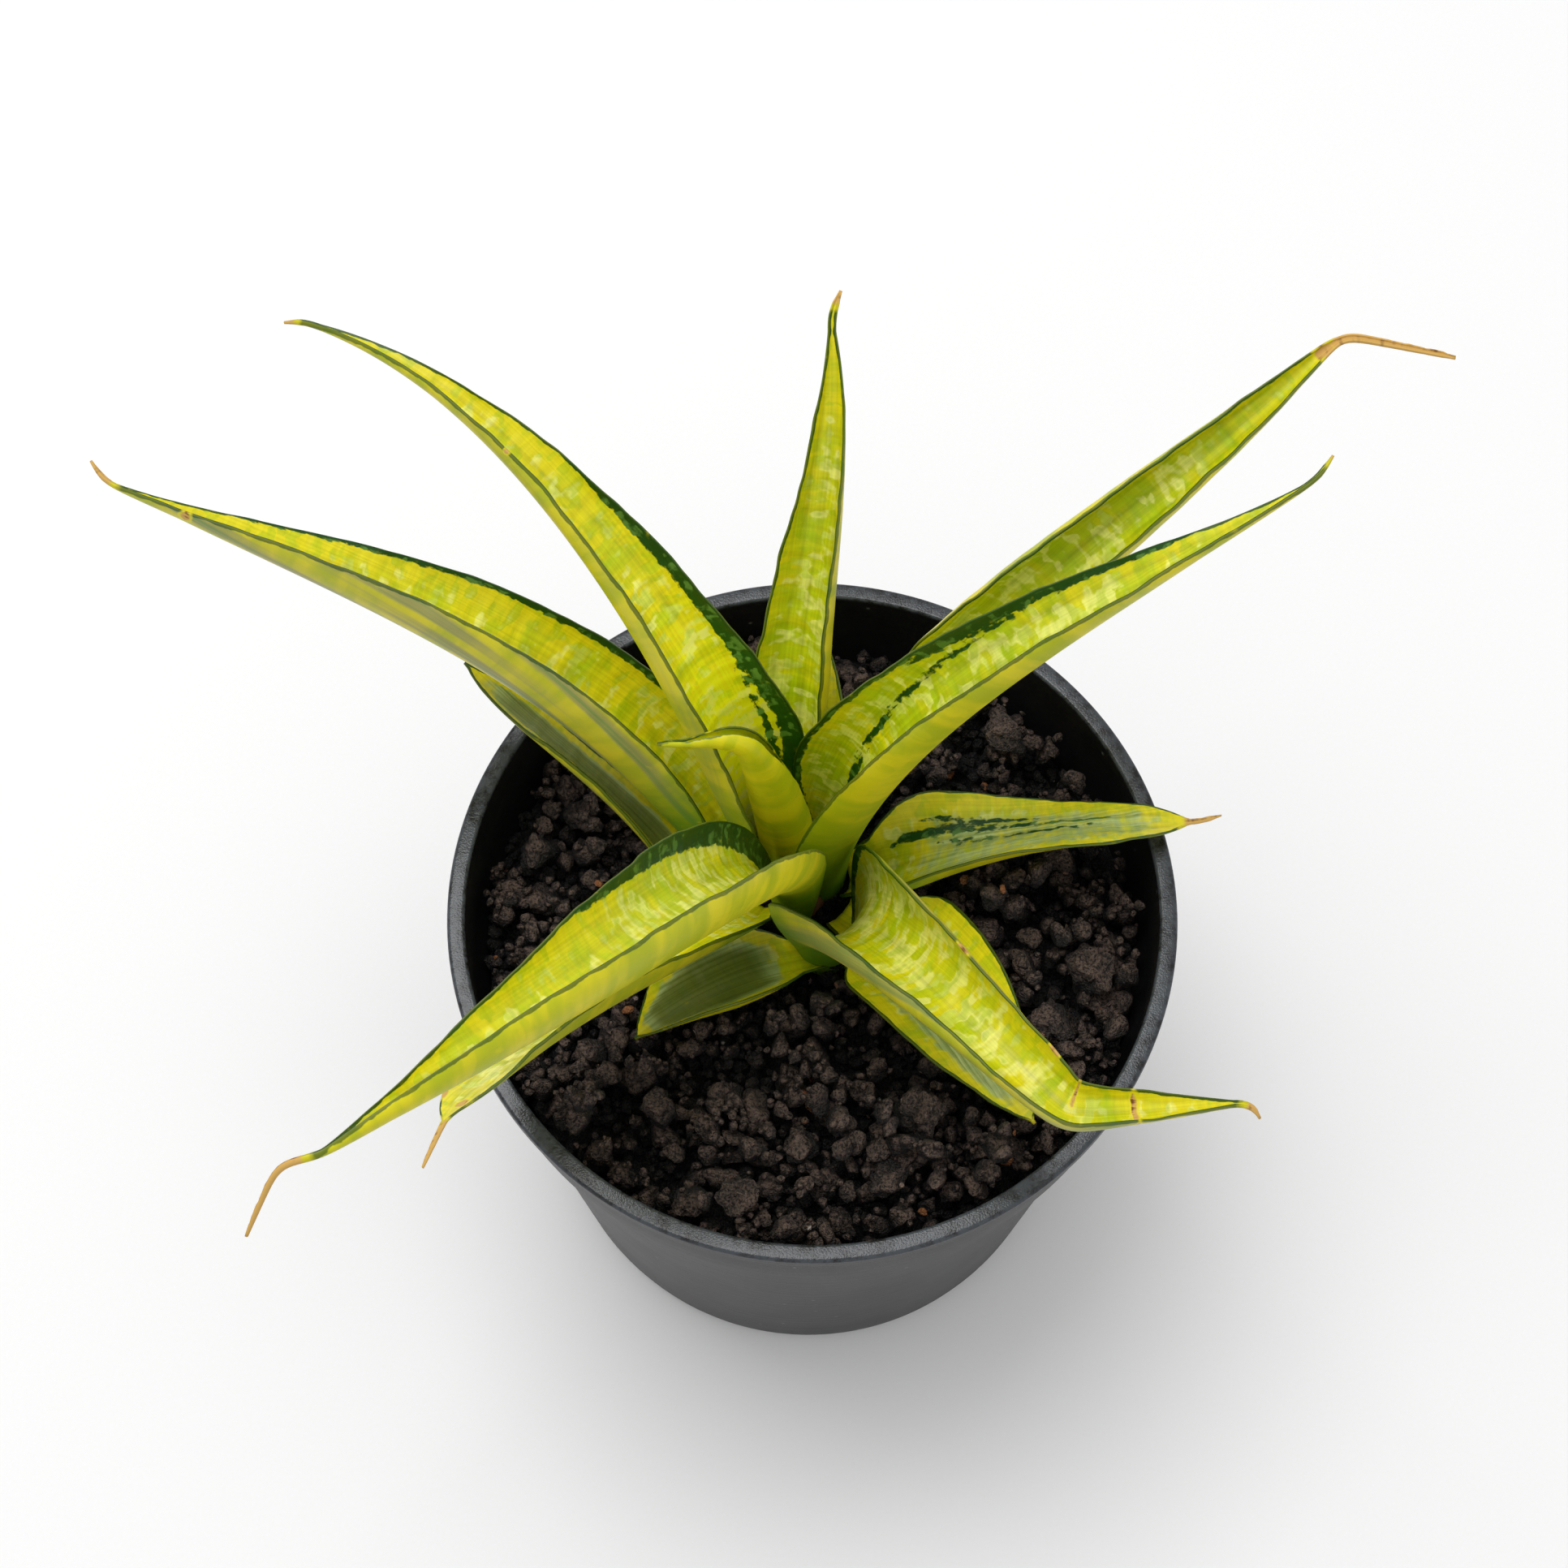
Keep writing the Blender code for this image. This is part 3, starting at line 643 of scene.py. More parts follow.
def grit_material(settings):
    """Crushed scoria: dull and full of pores, black in painted shade low on each stone and deeper in the
    heap, and brown where its upper faces are in painted light.

    Mottling of 1.4 mm, pores of 0.6 mm, a grain of 0.3 mm, and flecks some 6 mm apart: rusty mineral flecks,
    and pale ones that are partly mineral and partly painted glints.
    """
    material, tree = new_material("crushed_scoria")
    node = partial(add_node, tree)
    place = node("TexCoord").outputs["Object"]
    state = node("Attribute", attribute_name="state").outputs["Vector"]
    painted_light_share, bark, _ = node("SeparateXYZ", {"Vector": state}).outputs
    coarse = node("TexNoise", {"Vector": place, "Scale": 1 / (1.4 * MM), "Detail": 5, "Roughness": 0.75})
    pores = node("TexNoise", {"Vector": place, "Scale": 1 / (0.6 * MM), "Detail": 2, "Roughness": 0.6})
    fine = node("TexNoise", {"Vector": place, "Scale": 1 / (0.3 * MM), "Detail": 2})
    pits = node("MapRange", {"Value": pores, "From Min": 0.3, "From Max": 0.56, "To Min": 0.35}, **EASED)
    mottle = node("Math", {0: coarse, 1: pits}, **TIMES)
    # Painted light and shade: the mottle turns lit brown high on each stone and on the heap's top, and shaded
    # black below
    painted_lit_mottle = node("Math", {0: mottle, 1: painted_light_share}, **TIMES)
    colour = lay_over(node, settings.dark, settings.light, painted_lit_mottle, (0.13, 0.62))
    # Flecks: rusty and pale mineral flecks; the pale ones, made more numerous, also stand in as painted
    # glints
    flecks = node("TexVoronoi", {"Vector": place, "Scale": 1 / (6 * MM)})
    kind = node("SeparateColor", {"Color": flecks.outputs["Color"]})
    near = node("MapRange", {"Value": flecks, "From Min": 0.13, "From Max": 0.09})
    rare = node("Math", {0: kind.outputs["Red"], 1: 0.78}, operation="GREATER_THAN")
    speck = node("Math", {0: near, 1: rare}, **TIMES)
    tint = kind.outputs["Green"]
    hue = node("Mix", {"Factor": tint, "A": settings.pale_fleck_and_glint, "B": settings.rusty_fleck}, **COLOURS)
    speckled = node("Mix", {"Factor": speck, "A": colour, "B": hue}, **COLOURS)
    barky = node("Mix", {"Factor": mottle, "A": settings.rusty_fleck, "B": settings.bark}, **COLOURS)
    whole = node("Mix", {"Factor": bark, "A": speckled, "B": barky}, **COLOURS)
    relief = node("Math", {0: mottle, 1: fine}, operation="ADD")
    bump = node("Bump", {"Height": relief, "Strength": 1.0, "Distance": 0.5 * MM})
    shader = node("BsdfPrincipled", {"Base Color": whole, "Roughness": 0.46, "Normal": bump})
    node("OutputMaterial", {"Surface": shader})
    return material


def unit_ball(subdivisions):
    """Points and triangles of an icosphere of radius 1."""
    ball = bmesh.new()
    bmesh.ops.create_icosphere(ball, subdivisions=subdivisions, radius=1.0)
    points = np.array([vert.co for vert in ball.verts])
    faces = np.array([[vert.index for vert in face.verts] for face in ball.faces])
    ball.free()
    return points, faces


def broken_stone(points, draw, cuts, knobs):
    """A unit ball's points cut by planes into an angular stone with rough, pitted faces."""
    ways = draw.normal(size=(cuts, 3))
    ways /= np.linalg.norm(ways, axis=1)[:, None]
    depths = draw.uniform(0.5, 0.95, cuts)
    facing = points @ ways.T
    reach = np.where(facing > 0.05, depths / np.maximum(facing, 0.05), 9.0).min(axis=1)
    reach = np.minimum(reach, 1.12)
    pitch = np.repeat(KNOB_PITCHES, KNOB_WAVES)
    size = np.repeat(KNOB_SIZES, KNOB_WAVES) * knobs
    rough = draw.normal(size=(len(pitch), 3))
    rough /= np.linalg.norm(rough, axis=1)[:, None]
    waves = np.sin(points @ rough.T * pitch + draw.uniform(0, 2 * np.pi, len(pitch))) @ size
    stretch = draw.uniform(0.75, 1.25, 3)
    return points * (reach + waves)[:, None] * stretch


def stone_state(points, level, bark):
    """How lit each point of a stone is painted: painted light at its top and on the heap's top, painted shade
    lower in the stone and deeper in the heap, and if it is bark.
    """
    height = points[:, 2]
    upper = (height - height.min()) / max(np.ptp(height), 1e-6)
    raised = np.clip((height.max() - level + 6.0) / 7.0, 0.15, 1.0)
    return np.stack([(0.1 + upper ** 1.6) * raised, np.full(len(points), bark), 0 * height], axis=1)


def turn_matrix(draw):
    """A random rotation."""
    q = draw.normal(size=4)
    w, x, y, z = q / np.linalg.norm(q)
    return np.array([
        [1 - 2 * (y * y + z * z), 2 * (x * y - z * w), 2 * (x * z + y * w)],
        [2 * (x * y + z * w), 1 - 2 * (x * x + z * z), 2 * (y * z - x * w)],
        [2 * (x * z - y * w), 2 * (y * z + x * w), 1 - 2 * (x * x + y * y)],
    ])


class Heap:
    """The grit's height over the pot's area, on a square grid, and the room under what hangs above it."""

    def __init__(self, radius, level):
        self.radius = radius
        self.level = level
        self.count = int(2 * radius / GRID) + 1
        axis = np.linspace(-radius, radius, self.count)
        self.x, self.y = np.meshgrid(axis, axis, indexing="ij")
        self.top = bed_height(self.x, self.y, level)
        self.ceiling = np.full_like(self.top, 1e3)

    def patch(self, x, y, reach):
        """Slices of the grid within reach of a place, and squared distances there."""
        i = int((x + self.radius) / GRID)
        j = int((y + self.radius) / GRID)
        n = int(reach / GRID) + 1
        part = (slice(max(i - n, 0), i + n + 1), slice(max(j - n, 0), j + n + 1))
        return part, (self.x[part] - x) ** 2 + (self.y[part] - y) ** 2

    def hang(self, points):
        """Lower the ceiling to these points."""
        i = ((points[:, 0] + self.radius) / GRID).round().astype(int)
        j = ((points[:, 1] + self.radius) / GRID).round().astype(int)
        last = self.count - MARGIN_CELLS
        inside = (i >= MARGIN_CELLS) & (j >= MARGIN_CELLS) & (i < last) & (j < last)
        for di in range(-MARGIN_CELLS, MARGIN_CELLS + 1):
            for dj in range(-MARGIN_CELLS, MARGIN_CELLS + 1):
                np.minimum.at(self.ceiling, (i[inside] + di, j[inside] + dj), points[inside, 2])

    def drop(self, x, y, size, draw):
        """Rest a ball near a place where it lies lowest, or return None where there is no room."""
        best = None
        for _ in range(STONE_TRIES):
            u = x + draw.normal() * size * STONE_SCATTER
            v = y + draw.normal() * size * STONE_SCATTER
            if math.hypot(u, v) > self.radius - size * STONE_REACH:
                continue
            if size > CROWN_CRUMB and math.hypot(u - CROWN[0], v - CROWN[1]) < CROWN_CLEAR:
                continue
            part, gap = self.patch(u, v, size)
            near = gap < size * size
            if not near.any():
                continue
            lift = np.sqrt(size * size - gap[near])
            z = (self.top[part][near] + STONE_NEST * lift).max()
            if (z + lift > self.ceiling[part][near]).any():
                continue
            if best is None or z < best[2]:
                best = (u, v, z)
        if best is None:
            return None
        part, gap = self.patch(best[0], best[1], size)
        near = gap < size * size
        top = self.top[part]
        top[near] = np.maximum(top[near], best[2] + np.sqrt(size * size - gap[near]) * STONE_TOP)
        return best


def bed_height(x, y, level):
    """Height of the packed grit under the loose crumbs, with a shallow dip round the crown."""
    reach = np.hypot(x - CROWN[0], y - CROWN[1]) / DIP_RADIUS
    ripple = np.sin(x / 3.1 + 1.0) * np.sin(y / 2.7) + 0.6 * np.sin(x / 1.3) * np.sin(y / 1.7 + 2.0)
    return level - BED_DEPTH - DIP_DEPTH * np.exp(-reach * reach) + 0.45 * ripple


class SNAKEPLANT_OT_grit(bpy.types.Operator):
    """Fill the pot with grit and heap loose stones on it, with room left under the leaves"""

    bl_idname = "snake_plant.grit"
    bl_label = "Volcanic grit"

    def execute(self, context):
        settings = context.scene.snake_grit
        material = grit_material(settings)
        level = settings.level / MM
        low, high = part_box("soil")
        radius = high.x / MM
        self.build_bed(material, level, radius, low.z / MM)
        heap = Heap(radius - WALL_GAP, level)
        for leaf in LEAVES:
            points, _, _, along = leaf_surface(leaf)
            heap.hang(points[along > -1.0] - np.array([0, 0, LEAF_ROOM]))
        draw = np.random.default_rng(GRIT_SEED)
        self.build_lumps(material, heap, draw)
        for name, setting, sizes, fineness in LOOSE_STONES:
            self.heap_up(name, material, heap, draw, getattr(settings, setting), sizes, fineness)
        return {"FINISHED"}

    def build_bed(self, material, level, radius, bottom):
        """The packed filling under the loose crumbs, one closed body."""
        edge = radius - BED_INSET
        sides = ((BED_FOOT, bottom), (edge - 0.3, level - BED_DEPTH - 3.0))
        points = turned(sides, BED_SEGMENTS)
        top = [(r, 0.0) for r in np.linspace(edge, 0.5, BED_RINGS)]
        for x, y, _ in turned(top, BED_SEGMENTS):
            points.append((x, y, float(bed_height(x, y, level))))
        faces = closed_faces(len(sides) + BED_RINGS, BED_SEGMENTS)
        # The bed shows only in the gaps under the loose stones, so it gets a low share of painted light:
        # painted shade
        state = np.tile([0.3, 0.0, 0.0], (len(points), 1))
        bed = mesh_object("grit_bed", points, faces, material, {"state": state})
        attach(bed, BODY)
        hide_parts("soil")

    def build_lumps(self, material, heap, draw):
        """The big loose lumps, each in the place of its own node."""
        points, faces = unit_ball(4)
        for node in sorted(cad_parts):
            if not node.startswith("grit_lump"):
                continue
            low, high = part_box(node)
            centre = np.array((low + high) / 2) / MM
            half = np.array((high - low) / 2) / MM
            crumb = broken_stone(points, draw, LUMP_CUTS, LUMP_KNOBS)
            crumb = crumb / np.abs(crumb).max(axis=0) * half * 1.04
            part, gap = heap.patch(centre[0], centre[1], half[0])
            near = gap < half[0] * half[0]
            below = centre[2] - half[2] * 0.4
            heap.ceiling[part][near] = np.minimum(heap.ceiling[part][near], below + 1.2)
            crumb = crumb + centre
            lump = mesh_object(node.replace("grit", "scoria"), crumb, faces.tolist(), material,
                               {"state": stone_state(crumb, heap.level, 0.0)})
            lump.data.shade_flat()
            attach(lump, BODY)
            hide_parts(node)

    def heap_up(self, name, material, heap, draw, count, sizes, subdivisions):
        """Drop many crumbs of a range of radii, one after the other, as one object."""
        points, faces = unit_ball(subdivisions)
        kinds = [broken_stone(points, draw, STONE_CUTS, STONE_KNOBS) for _ in range(CRUMB_KINDS)]
        all_points = []
        all_faces = []
        states = []
        for _ in range(count):
            size = sizes[0] + (sizes[1] - sizes[0]) * draw.uniform() ** 1.7
            angle = draw.uniform(0, 2 * np.pi)
            away = heap.radius * math.sqrt(draw.uniform())
            place = heap.drop(away * math.cos(angle), away * math.sin(angle), size, draw)
            if place is None:
                continue
            crumb = kinds[draw.integers(CRUMB_KINDS)] @ turn_matrix(draw).T * size + np.array(place)
            all_faces.append(faces + len(points) * len(all_points))
            all_points.append(crumb)
            bark = float(draw.uniform() < BARK_SHARE and size < BARK_SIZE)
            states.append(stone_state(crumb, heap.level, bark))
        if not all_points:
            raise RuntimeError(f"no room for {name}")
        crumbs = mesh_object(name, np.concatenate(all_points), np.concatenate(all_faces).tolist(),
                             material, {"state": np.concatenate(states)})
        crumbs.data.shade_flat()
        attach(crumbs, BODY)


# Rootstock


class SNAKEPLANT_OT_rootstock(bpy.types.Operator):
    """Give the rhizome and roots their bark"""

    bl_idname = "snake_plant.rootstock"
    bl_label = "Rootstock"

    def execute(self, context):
        # Corky bark: ringed every 1 mm, matt, so the rhizome and roots look dry and orange brown
        material, tree = new_material("corky_rhizome_bark")
        node = partial(add_node, tree)
        place = node("TexCoord").outputs["Object"]
        rings = node("Mapping", {"Vector": place, "Scale": (1 / (3 * MM), 1 / (3 * MM), 1 / MM)})
        cork = node("TexNoise", {"Vector": rings, "Scale": 1, "Detail": 5})
        tone = node("Mix", {"Factor": cork, "A": linear("#4a2c14"), "B": linear("#b07a3e")}, **COLOURS)
        bump = node("Bump", {"Height": cork, "Strength": 0.6, "Distance": 0.4 * MM})
        shader = node("BsdfPrincipled", {"Base Color": tone, "Roughness": 0.85, "Normal": bump})
        node("OutputMaterial", {"Surface": shader})
        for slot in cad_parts["rootstock"].material_slots:
            slot.material = material
        return {"FINISHED"}


# Leaves

SHEATH = 9.0
BLADE_STEP = 0.8
ACROSS = 29
MARGIN_RIPPLES = ((7.0, 13.0, 29.0), (0.05, 0.1, 0.2))
MARGIN_SWAY = ((5.0, 11.0, 31.0), (0.03, 0.06, 0.12))
CALM_FOOT = (15.0, 45.0)
SHEATH_TAPER = 0.25
GROOVE_WIDTH = 0.45
GROOVE_DEPTH = 0.22
RIDGE_LINES = (-0.42, 0.05, 0.5)


def leaf_surface(leaf):
    """Points of a leaf's skin in rings, its ring count and size, and values for its pattern."""
    seed = int(leaf.node[5:7])
    track, centres, forward, left = leaf_track(leaf)
    total = leaf.length + leaf.thread
    count = int((total + SHEATH) / BLADE_STEP)
    along = np.linspace(-SHEATH, total, count)
    reach = along / leaf.length
    inside = np.clip(along, 0, total)
    centre, way, side = [
        np.stack([np.interp(inside, track, line[:, i]) for i in range(3)], axis=1)
        for line in (centres, forward, left)
    ]
    way /= np.linalg.norm(way, axis=1)[:, None]
    centre += way * np.minimum(along, 0)[:, None]
    # Cross section: an arc of the blade's width and fold, turned by its roll and thickest at the keel
    upward = np.cross(way, side)
    roll = np.radians(along_blade(leaf.roll, reach))[:, None]
    across = np.cos(roll) * side + np.sin(roll) * upward
    inward = -np.sin(roll) * side + np.cos(roll) * upward
    width = blade_width(leaf, np.maximum(reach, 0))
    width = width * (1 + SHEATH_TAPER * np.minimum(along, 0) / SHEATH)
    past = np.clip((along - leaf.length) / max(leaf.thread, 1.0), 0, 1)
    width = width * (1 - past * (0.35 + wander(along, seed * 17, (2.1, 4.7), (0.12, 0.16))))
    width = width * (0.3 + 0.7 * smooth_step(0.0, 2.5, total - along))
    half_angle = np.radians(along_blade(leaf.fold, reach))
    bend = width / 2 / half_angle
    fullness = np.minimum(1.0, width / leaf.width) ** THINNING
    keel = np.maximum(LEAF_THICKNESS * fullness, THREAD_THICKNESS) * (1 - 0.4 * past)
    edge = np.minimum(EDGE_THICKNESS, keel / 2)
    place = np.sin(np.pi / 2 * np.linspace(-1, 1, ACROSS))
    angle = half_angle[:, None] * place
    # Wavy margins and a slightly uneven inside, calm near the foot, and shallow grooves along the blade
    broad = smooth_step(2.0, 12.0, width)[:, None]
    loose = broad * smooth_step(*CALM_FOOT, along)[:, None]
    lifts = np.stack([wander(along, seed * 7 + k, *MARGIN_RIPPLES) for k in range(2)], axis=1)
    sways = np.stack([wander(along, seed * 7 + 3 + k, *MARGIN_SWAY) for k in range(2)], axis=1)
    near = np.abs(place) ** 5
    on_left = place > 0
    lift = np.where(on_left, lifts[:, 1:], lifts[:, :1]) * near * loose
    sway = np.where(on_left, sways[:, 1:], -sways[:, :1]) * near * loose
    flat = across[:, None, :] * (bend[:, None] * np.sin(angle) + sway)[:, :, None]
    deep = inward[:, None, :] * (bend[:, None] * (1 - np.cos(angle)))[:, :, None]
    normal = -np.sin(angle)[:, :, None] * across[:, None, :] + np.cos(angle)[:, :, None] * inward[:, None, :]
    groove = np.zeros((count, ACROSS))
    for k, line in enumerate(RIDGE_LINES):
        path = line + wander(along, seed * 11 + k, (60.0, 35.0), (0.06, 0.03))
        gap = (place - path[:, None]) * width[:, None] / 2
        groove = np.maximum(groove, np.exp(-(gap / GROOVE_WIDTH) ** 2) * broad)
    waves = wander(along, seed * 13, (3.3, 5.1, 8.7), (0.05, 0.06, 0.08))[:, None] * (1 - near) * loose
    # Inside and outside skins
    lifted = centre[:, None, :] + flat + deep
    inner = lifted + normal * (lift + waves - GROOVE_DEPTH * groove)[:, :, None]
    thickness = edge[:, None] + (keel - edge)[:, None] * (1 - place * place)
    outer = lifted + normal * (lift - thickness)[:, :, None]
    points = np.concatenate([inner, outer[:, ::-1]], axis=1)
    # Where each point lies in the pattern, how green, grey and dry it is, and how much painted light or
    # painted shade it gets
    ring = 2 * ACROSS
    both = np.concatenate([place, place[::-1]])
    across_mm = both * width[:, None] / 2
    along_mm = np.repeat(along[:, None], ring, axis=1)
    upper = np.repeat([1.0, 0.0], ACROSS)
    margin = (1 - np.abs(both)) * width[:, None] / 2 + 0.5 * (1 - leaf.hem)
    green = np.full((count, ring), -9.0)
    for begins, finishes, half, start, end in leaf.stripes:
        run = np.clip((reach - start) / (end - start), 0, 1)
        fade = smooth_step(start, start + 0.12, reach) * (1 - run) ** 0.7
        gap = np.abs(both - begins - (finishes - begins) * run[:, None]) * width[:, None] / 2
        ended = 2.0 * (1 - smooth_step(0, 0.3, fade))
        green = np.maximum(green, (half * fade - ended)[:, None] - gap)
    # Painted light and shade: painted shade in the grooves, painted light on the lower half inside, and
    # painted shade darkening the foot outside deep in the crown
    light = (1 - 0.2 * groove) * (1 + leaf.painted_glow * (1 - smooth_step(0.15, 0.65, reach)))[:, None]
    under = np.repeat(0.66 + 0.34 * smooth_step(0.0, 0.42, reach)[:, None], ACROSS, axis=1)
    core = leaf.core * (1 - smooth_step(0.45, 0.8, np.abs(both))) * smooth_step(0.0, 0.25, reach)[:, None]
    core = core * (1 - smooth_step(0.8, 0.98, reach))[:, None]
    withered = leaf.length - leaf.dry_tip
    dry = np.repeat(smooth_step(withered, withered + 6.0, along)[:, None], ring, axis=1)
    for at, where, long, wide in leaf.scars:
        gap = np.hypot((along_mm - at) / long, (both - where) * width[:, None] / 2 / wide)
        dry = np.maximum(dry, 1.2 * np.exp(-gap ** 2))
    values = {
        "place": np.stack([across_mm, along_mm, np.full_like(along_mm, 31.0 * seed)], axis=2),
        "zones": np.stack([green, core, margin], axis=2),
        "state": np.stack([np.tile(upper, (count, 1)), dry, np.concatenate([light, under], axis=1)], axis=2),
        "tint": np.broadcast_to([leaf.yellow, leaf.pale, leaf.grey], (count, ring, 3)),
    }
    values = {key: value.reshape(-1, 3) for key, value in values.items()}
    return points.reshape(-1, 3), (count, ring), values, along_mm.ravel()


# Noise fields of the leaves: size across and along the blade in millimetres, and detail.
# Real fibres are some 0.2 mm wide, too fine to show, so they are drawn 0.6 mm wide
LEAF_FIELDS = {
    "warp": (3.0, 3.0, 2),
    "bands": (26.0, 6.5, 2),
    "clouds": (8.0, 15.0, 2),
    "patches": (2.9, 2.4, 1),
    "teeth": (1.5, 2.4, 3),
    "fibres": (0.6, 40.0, 3),
    "veins": (9.0, 1.1, 2),
    "haze": (3.0, 70.0, 2),
    "wavering": (2.0, 3.5, 3),
    "knots": (4.0, 1.6, 2),
}


def leaf_material(settings):
    """Living leaf under its waxy cuticle: satin, so the light lies softly on it and the pattern stays clear.

    Lime and yellow in soft cross bands with pale flecks, dark green stripes and margins, and dry, tan tips.
    """
    material, tree = new_material("waxy_leaf_cuticle")
    node = partial(add_node, tree)
    place, zones, state, tint = [
        node("Attribute", attribute_name=name).outputs["Vector"]
        for name in ("place", "zones", "state", "tint")
    ]
    green, core, margin = node("SeparateXYZ", {"Vector": zones}).outputs
    upper, dry, light = node("SeparateXYZ", {"Vector": state}).outputs
    yellow, pale, grey = node("SeparateXYZ", {"Vector": tint}).outputs
    field = {}
    for name, (across, along, detail) in LEAF_FIELDS.items():
        spot = node("VectorMath", {0: place, 1: (1 / across, 1 / along, 1)}, **TIMES)
        field[name] = node("TexNoise", {"Vector": spot, "Scale": 1, "Detail": detail})
    bent = node("VectorMath", {0: field["warp"].outputs["Color"], 1: (2.0, 1.4, 0), 2: place}, **TIMES_PLUS)
    cells = node("VectorMath", {0: bent, 1: (1 / 3.6, 1 / 2.2, 1)}, **TIMES)
    blocks = node("TexVoronoi", {"Vector": cells, "Scale": 1, "Smoothness": 0.35, "Randomness": 0.8},
                  feature="SMOOTH_F1", distance="CHEBYCHEV")
    block_a, block_b, block_c = node("SeparateColor", {"Color": blocks.outputs["Color"]}).outputs

    # Upper side: lime and yellow in soft cross bands, yellower towards the margins
    rim = node("MapRange", {0: margin, 1: 6.0, 2: 0.5, 3: 0.0, 4: 0.35}, **EASED)
    side = lay_over(node, settings.lime, settings.yellow, rim, (0.8, 1.8),
                    ((block_a, 0.3), (field["bands"], 1.5), (yellow, 0.8)))
    # Pale flecks wider than long, most in the middle of the blade
    middle = node("MapRange", {0: margin, 1: 0.8, 2: 5.0, 3: -0.5, 4: 0.0}, **EASED)
    side = lay_over(node, side, settings.cream, middle, (1.66, 1.95),
                    ((block_b, 0.6), (field["clouds"], 0.9), (field["patches"], 1.5), (pale, 0.35)), 0.66)
    # Greener blocks between them
    side = lay_over(node, side, settings.lime, field["patches"], (0.74, 0.94), ((block_c, 0.5),), 0.55)
    # Grey green middle of the older leaves, streaked along
    centre = lay_over(node, settings.streak, settings.grey_green, field["fibres"], (0.25, 0.7))
    # From a core of about 1 the middle turns deep olive: partly the low leaves' own darker green, partly
    # painted shade
    centre = lay_over(node, centre, settings.deep, core, (0.9, 1.7), most=0.8)
    side = lay_over(node, side, centre, core, (1.05, 1.75),
                    ((field["patches"], 1.3), (field["fibres"], 0.3)), 0.85)
    # Dark green stripes with ragged edges and lighter chips in them
    band = lay_over(node, settings.green, settings.chip, field["teeth"], (0.78, 0.98),
                    ((block_b, 0.5),), 0.5)
    side = lay_over(node, side, band, green, (1.4, 1.75), ((field["teeth"], 2.2), (field["fibres"], 0.9)))
    # Fine fibres and cross veins
    fibre_shade = node("MapRange", {0: field["fibres"], 1: 0.3, 2: 0.7, 3: 0.88, 4: 1.06}, **EASED)
    vein_shade = node("MapRange", {0: field["veins"], 1: 0.3, 2: 0.7, 3: 0.93, 4: 1.04}, **EASED)
    shade = node("Math", {0: fibre_shade, 1: vein_shade}, **TIMES)
    side = node("VectorMath", {0: side, "Scale": shade}, operation="SCALE")

    # Underside: olive yellow with soft cross bands, and long grey green streaks on the greyer leaves
    belly = lay_over(node, settings.olive, settings.belly, field["bands"], (0.4, 0.74),
                     ((block_a, 0.15),))
    belly = lay_over(node, belly, settings.haze, field["haze"], (0.42, 0.62), most=0.95, least=0.15,
                     share=grey)
    belly = lay_over(node, belly, settings.streak, field["haze"], (0.72, 0.84),
                     ((field["fibres"], 0.3),), share=grey)
    # The foot outside turns green where the painted shade of the crown falls: partly its own green, partly
    # painted shade
    belly = lay_over(node, belly, settings.foot, light, (0.93, 0.68), most=0.85)
    # Painted shade in the grooves, painted light on the lower half inside and painted shade on the darker,
    # greener foot outside
    skin = node("Mix", {"Factor": upper, "A": belly, "B": side}, **COLOURS)
    skin = node("VectorMath", {0: skin, "Scale": light}, operation="SCALE")
    skin = node("VectorMath", {0: skin, 1: (0.92, 0.92, 0.92)}, operation="MINIMUM")

    # Margin: a fine, dark line, broken here and there and fainter outside
    strength = node("MapRange", {0: upper, 3: 0.8, 4: 1.0})
    skin = lay_over(node, skin, settings.green, margin, (0.0, -0.14), ((field["wavering"], -1.0),),
                    0.95, share=strength)

    # Dry tissue: yellow where it starts, then tan with brown streaks and knots
    ragged = node("Math", {0: field["wavering"], 1: 0.8, 2: dry}, **TIMES_PLUS)
    skin = lay_over(node, skin, settings.yellow, ragged, (0.5, 0.75), most=0.7)
    straw = lay_over(node, settings.tan, settings.brown, field["fibres"], (0.92, 1.2),
                     ((field["knots"], 0.8),))
    withered = node("MapRange", {0: ragged, 1: 0.8, 2: 1.1}, **EASED)
    skin = node("Mix", {"Factor": withered, "A": skin, "B": straw}, **COLOURS)
    relief = node("Math", {0: block_a, 1: 0.35, 2: field["fibres"]}, **TIMES_PLUS)
    relief = node("Math", {0: field["veins"], 1: 0.6, 2: relief}, **TIMES_PLUS)
    bump = node("Bump", {"Height": relief, "Strength": 0.4, "Distance": 0.12 * MM})
    gloss = node("MapRange", {0: withered, 3: 0.42, 4: 0.8})
    shader = node("BsdfPrincipled", {"Base Color": skin, "Roughness": gloss, "Normal": bump,
                                     "Specular IOR Level": 0.3})
    node("OutputMaterial", {"Surface": shader})
    return material


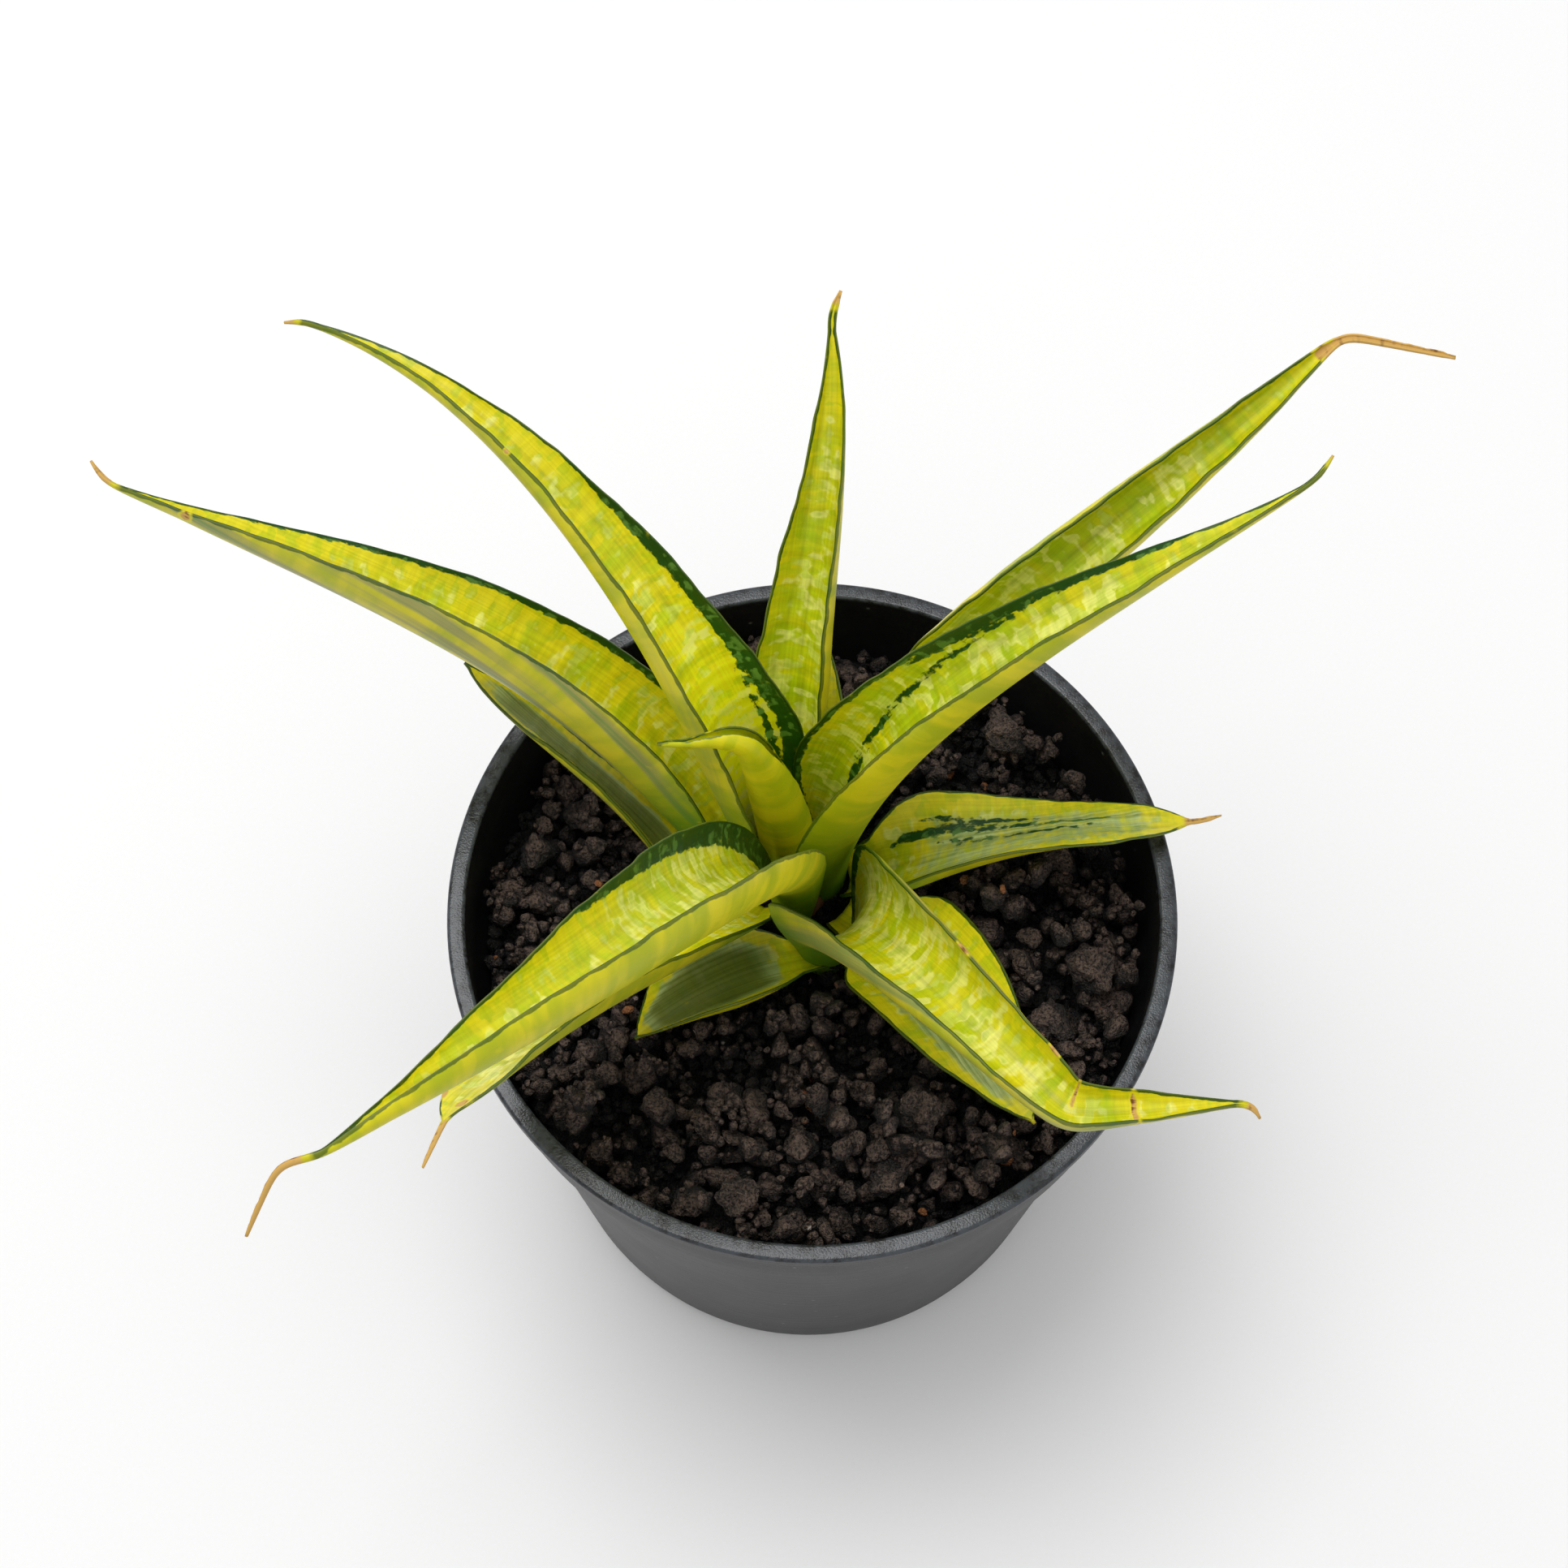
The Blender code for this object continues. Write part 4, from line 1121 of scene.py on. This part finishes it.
class SNAKEPLANT_OT_leaves(bpy.types.Operator):
    """Build every leaf with its wavy margins, grooves and pattern"""

    bl_idname = "snake_plant.leaves"
    bl_label = "Leaves"

    def execute(self, context):
        material = leaf_material(context.scene.snake_leaves)
        for leaf in LEAVES:
            points, (rings, count), values, _ = leaf_surface(leaf)
            faces = [tuple(reversed(face)) for face in closed_faces(rings, count)]
            blade = mesh_object(leaf.node.replace("leaf", "blade"), points, faces, material, values)
            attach(blade, BODY)
            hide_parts(leaf.node)
        return {"FINISHED"}


# Panel and registration

OPERATORS = (
    SNAKEPLANT_OT_stage,
    SNAKEPLANT_OT_pot,
    SNAKEPLANT_OT_grit,
    SNAKEPLANT_OT_rootstock,
    SNAKEPLANT_OT_leaves,
)
SETTINGS = {
    "snake_stage": StageSettings,
    "snake_pot": PotSettings,
    "snake_grit": GritSettings,
    "snake_leaves": LeafSettings,
}


class SNAKEPLANT_PT_panel(bpy.types.Panel):
    """Lists the plant's parts and their settings"""

    bl_idname = "SNAKEPLANT_PT_panel"
    bl_label = "Snake plant"
    bl_space_type = "VIEW_3D"
    bl_region_type = "UI"
    bl_category = "Snake plant"

    def draw(self, context):
        for operator in OPERATORS:
            self.layout.operator(operator.bl_idname)
        for name, group in SETTINGS.items():
            box = self.layout.box()
            box.label(text=group.__doc__)
            for key in group.__annotations__:
                box.prop(getattr(context.scene, name), key)


def register():
    for group in (*SETTINGS.values(), *OPERATORS, SNAKEPLANT_PT_panel):
        bpy.utils.register_class(group)
    for name, group in SETTINGS.items():
        setattr(bpy.types.Scene, name, PointerProperty(type=group))


def unregister():
    for name in SETTINGS:
        delattr(bpy.types.Scene, name)
    for group in (SNAKEPLANT_PT_panel, *OPERATORS, *SETTINGS.values()):
        bpy.utils.unregister_class(group)


def main():
    register()
    bpy.ops.snake_plant.stage()
    bpy.ops.snake_plant.pot()
    bpy.ops.snake_plant.grit()
    bpy.ops.snake_plant.rootstock()
    bpy.ops.snake_plant.leaves()


if __name__ == "__main__":
    main()
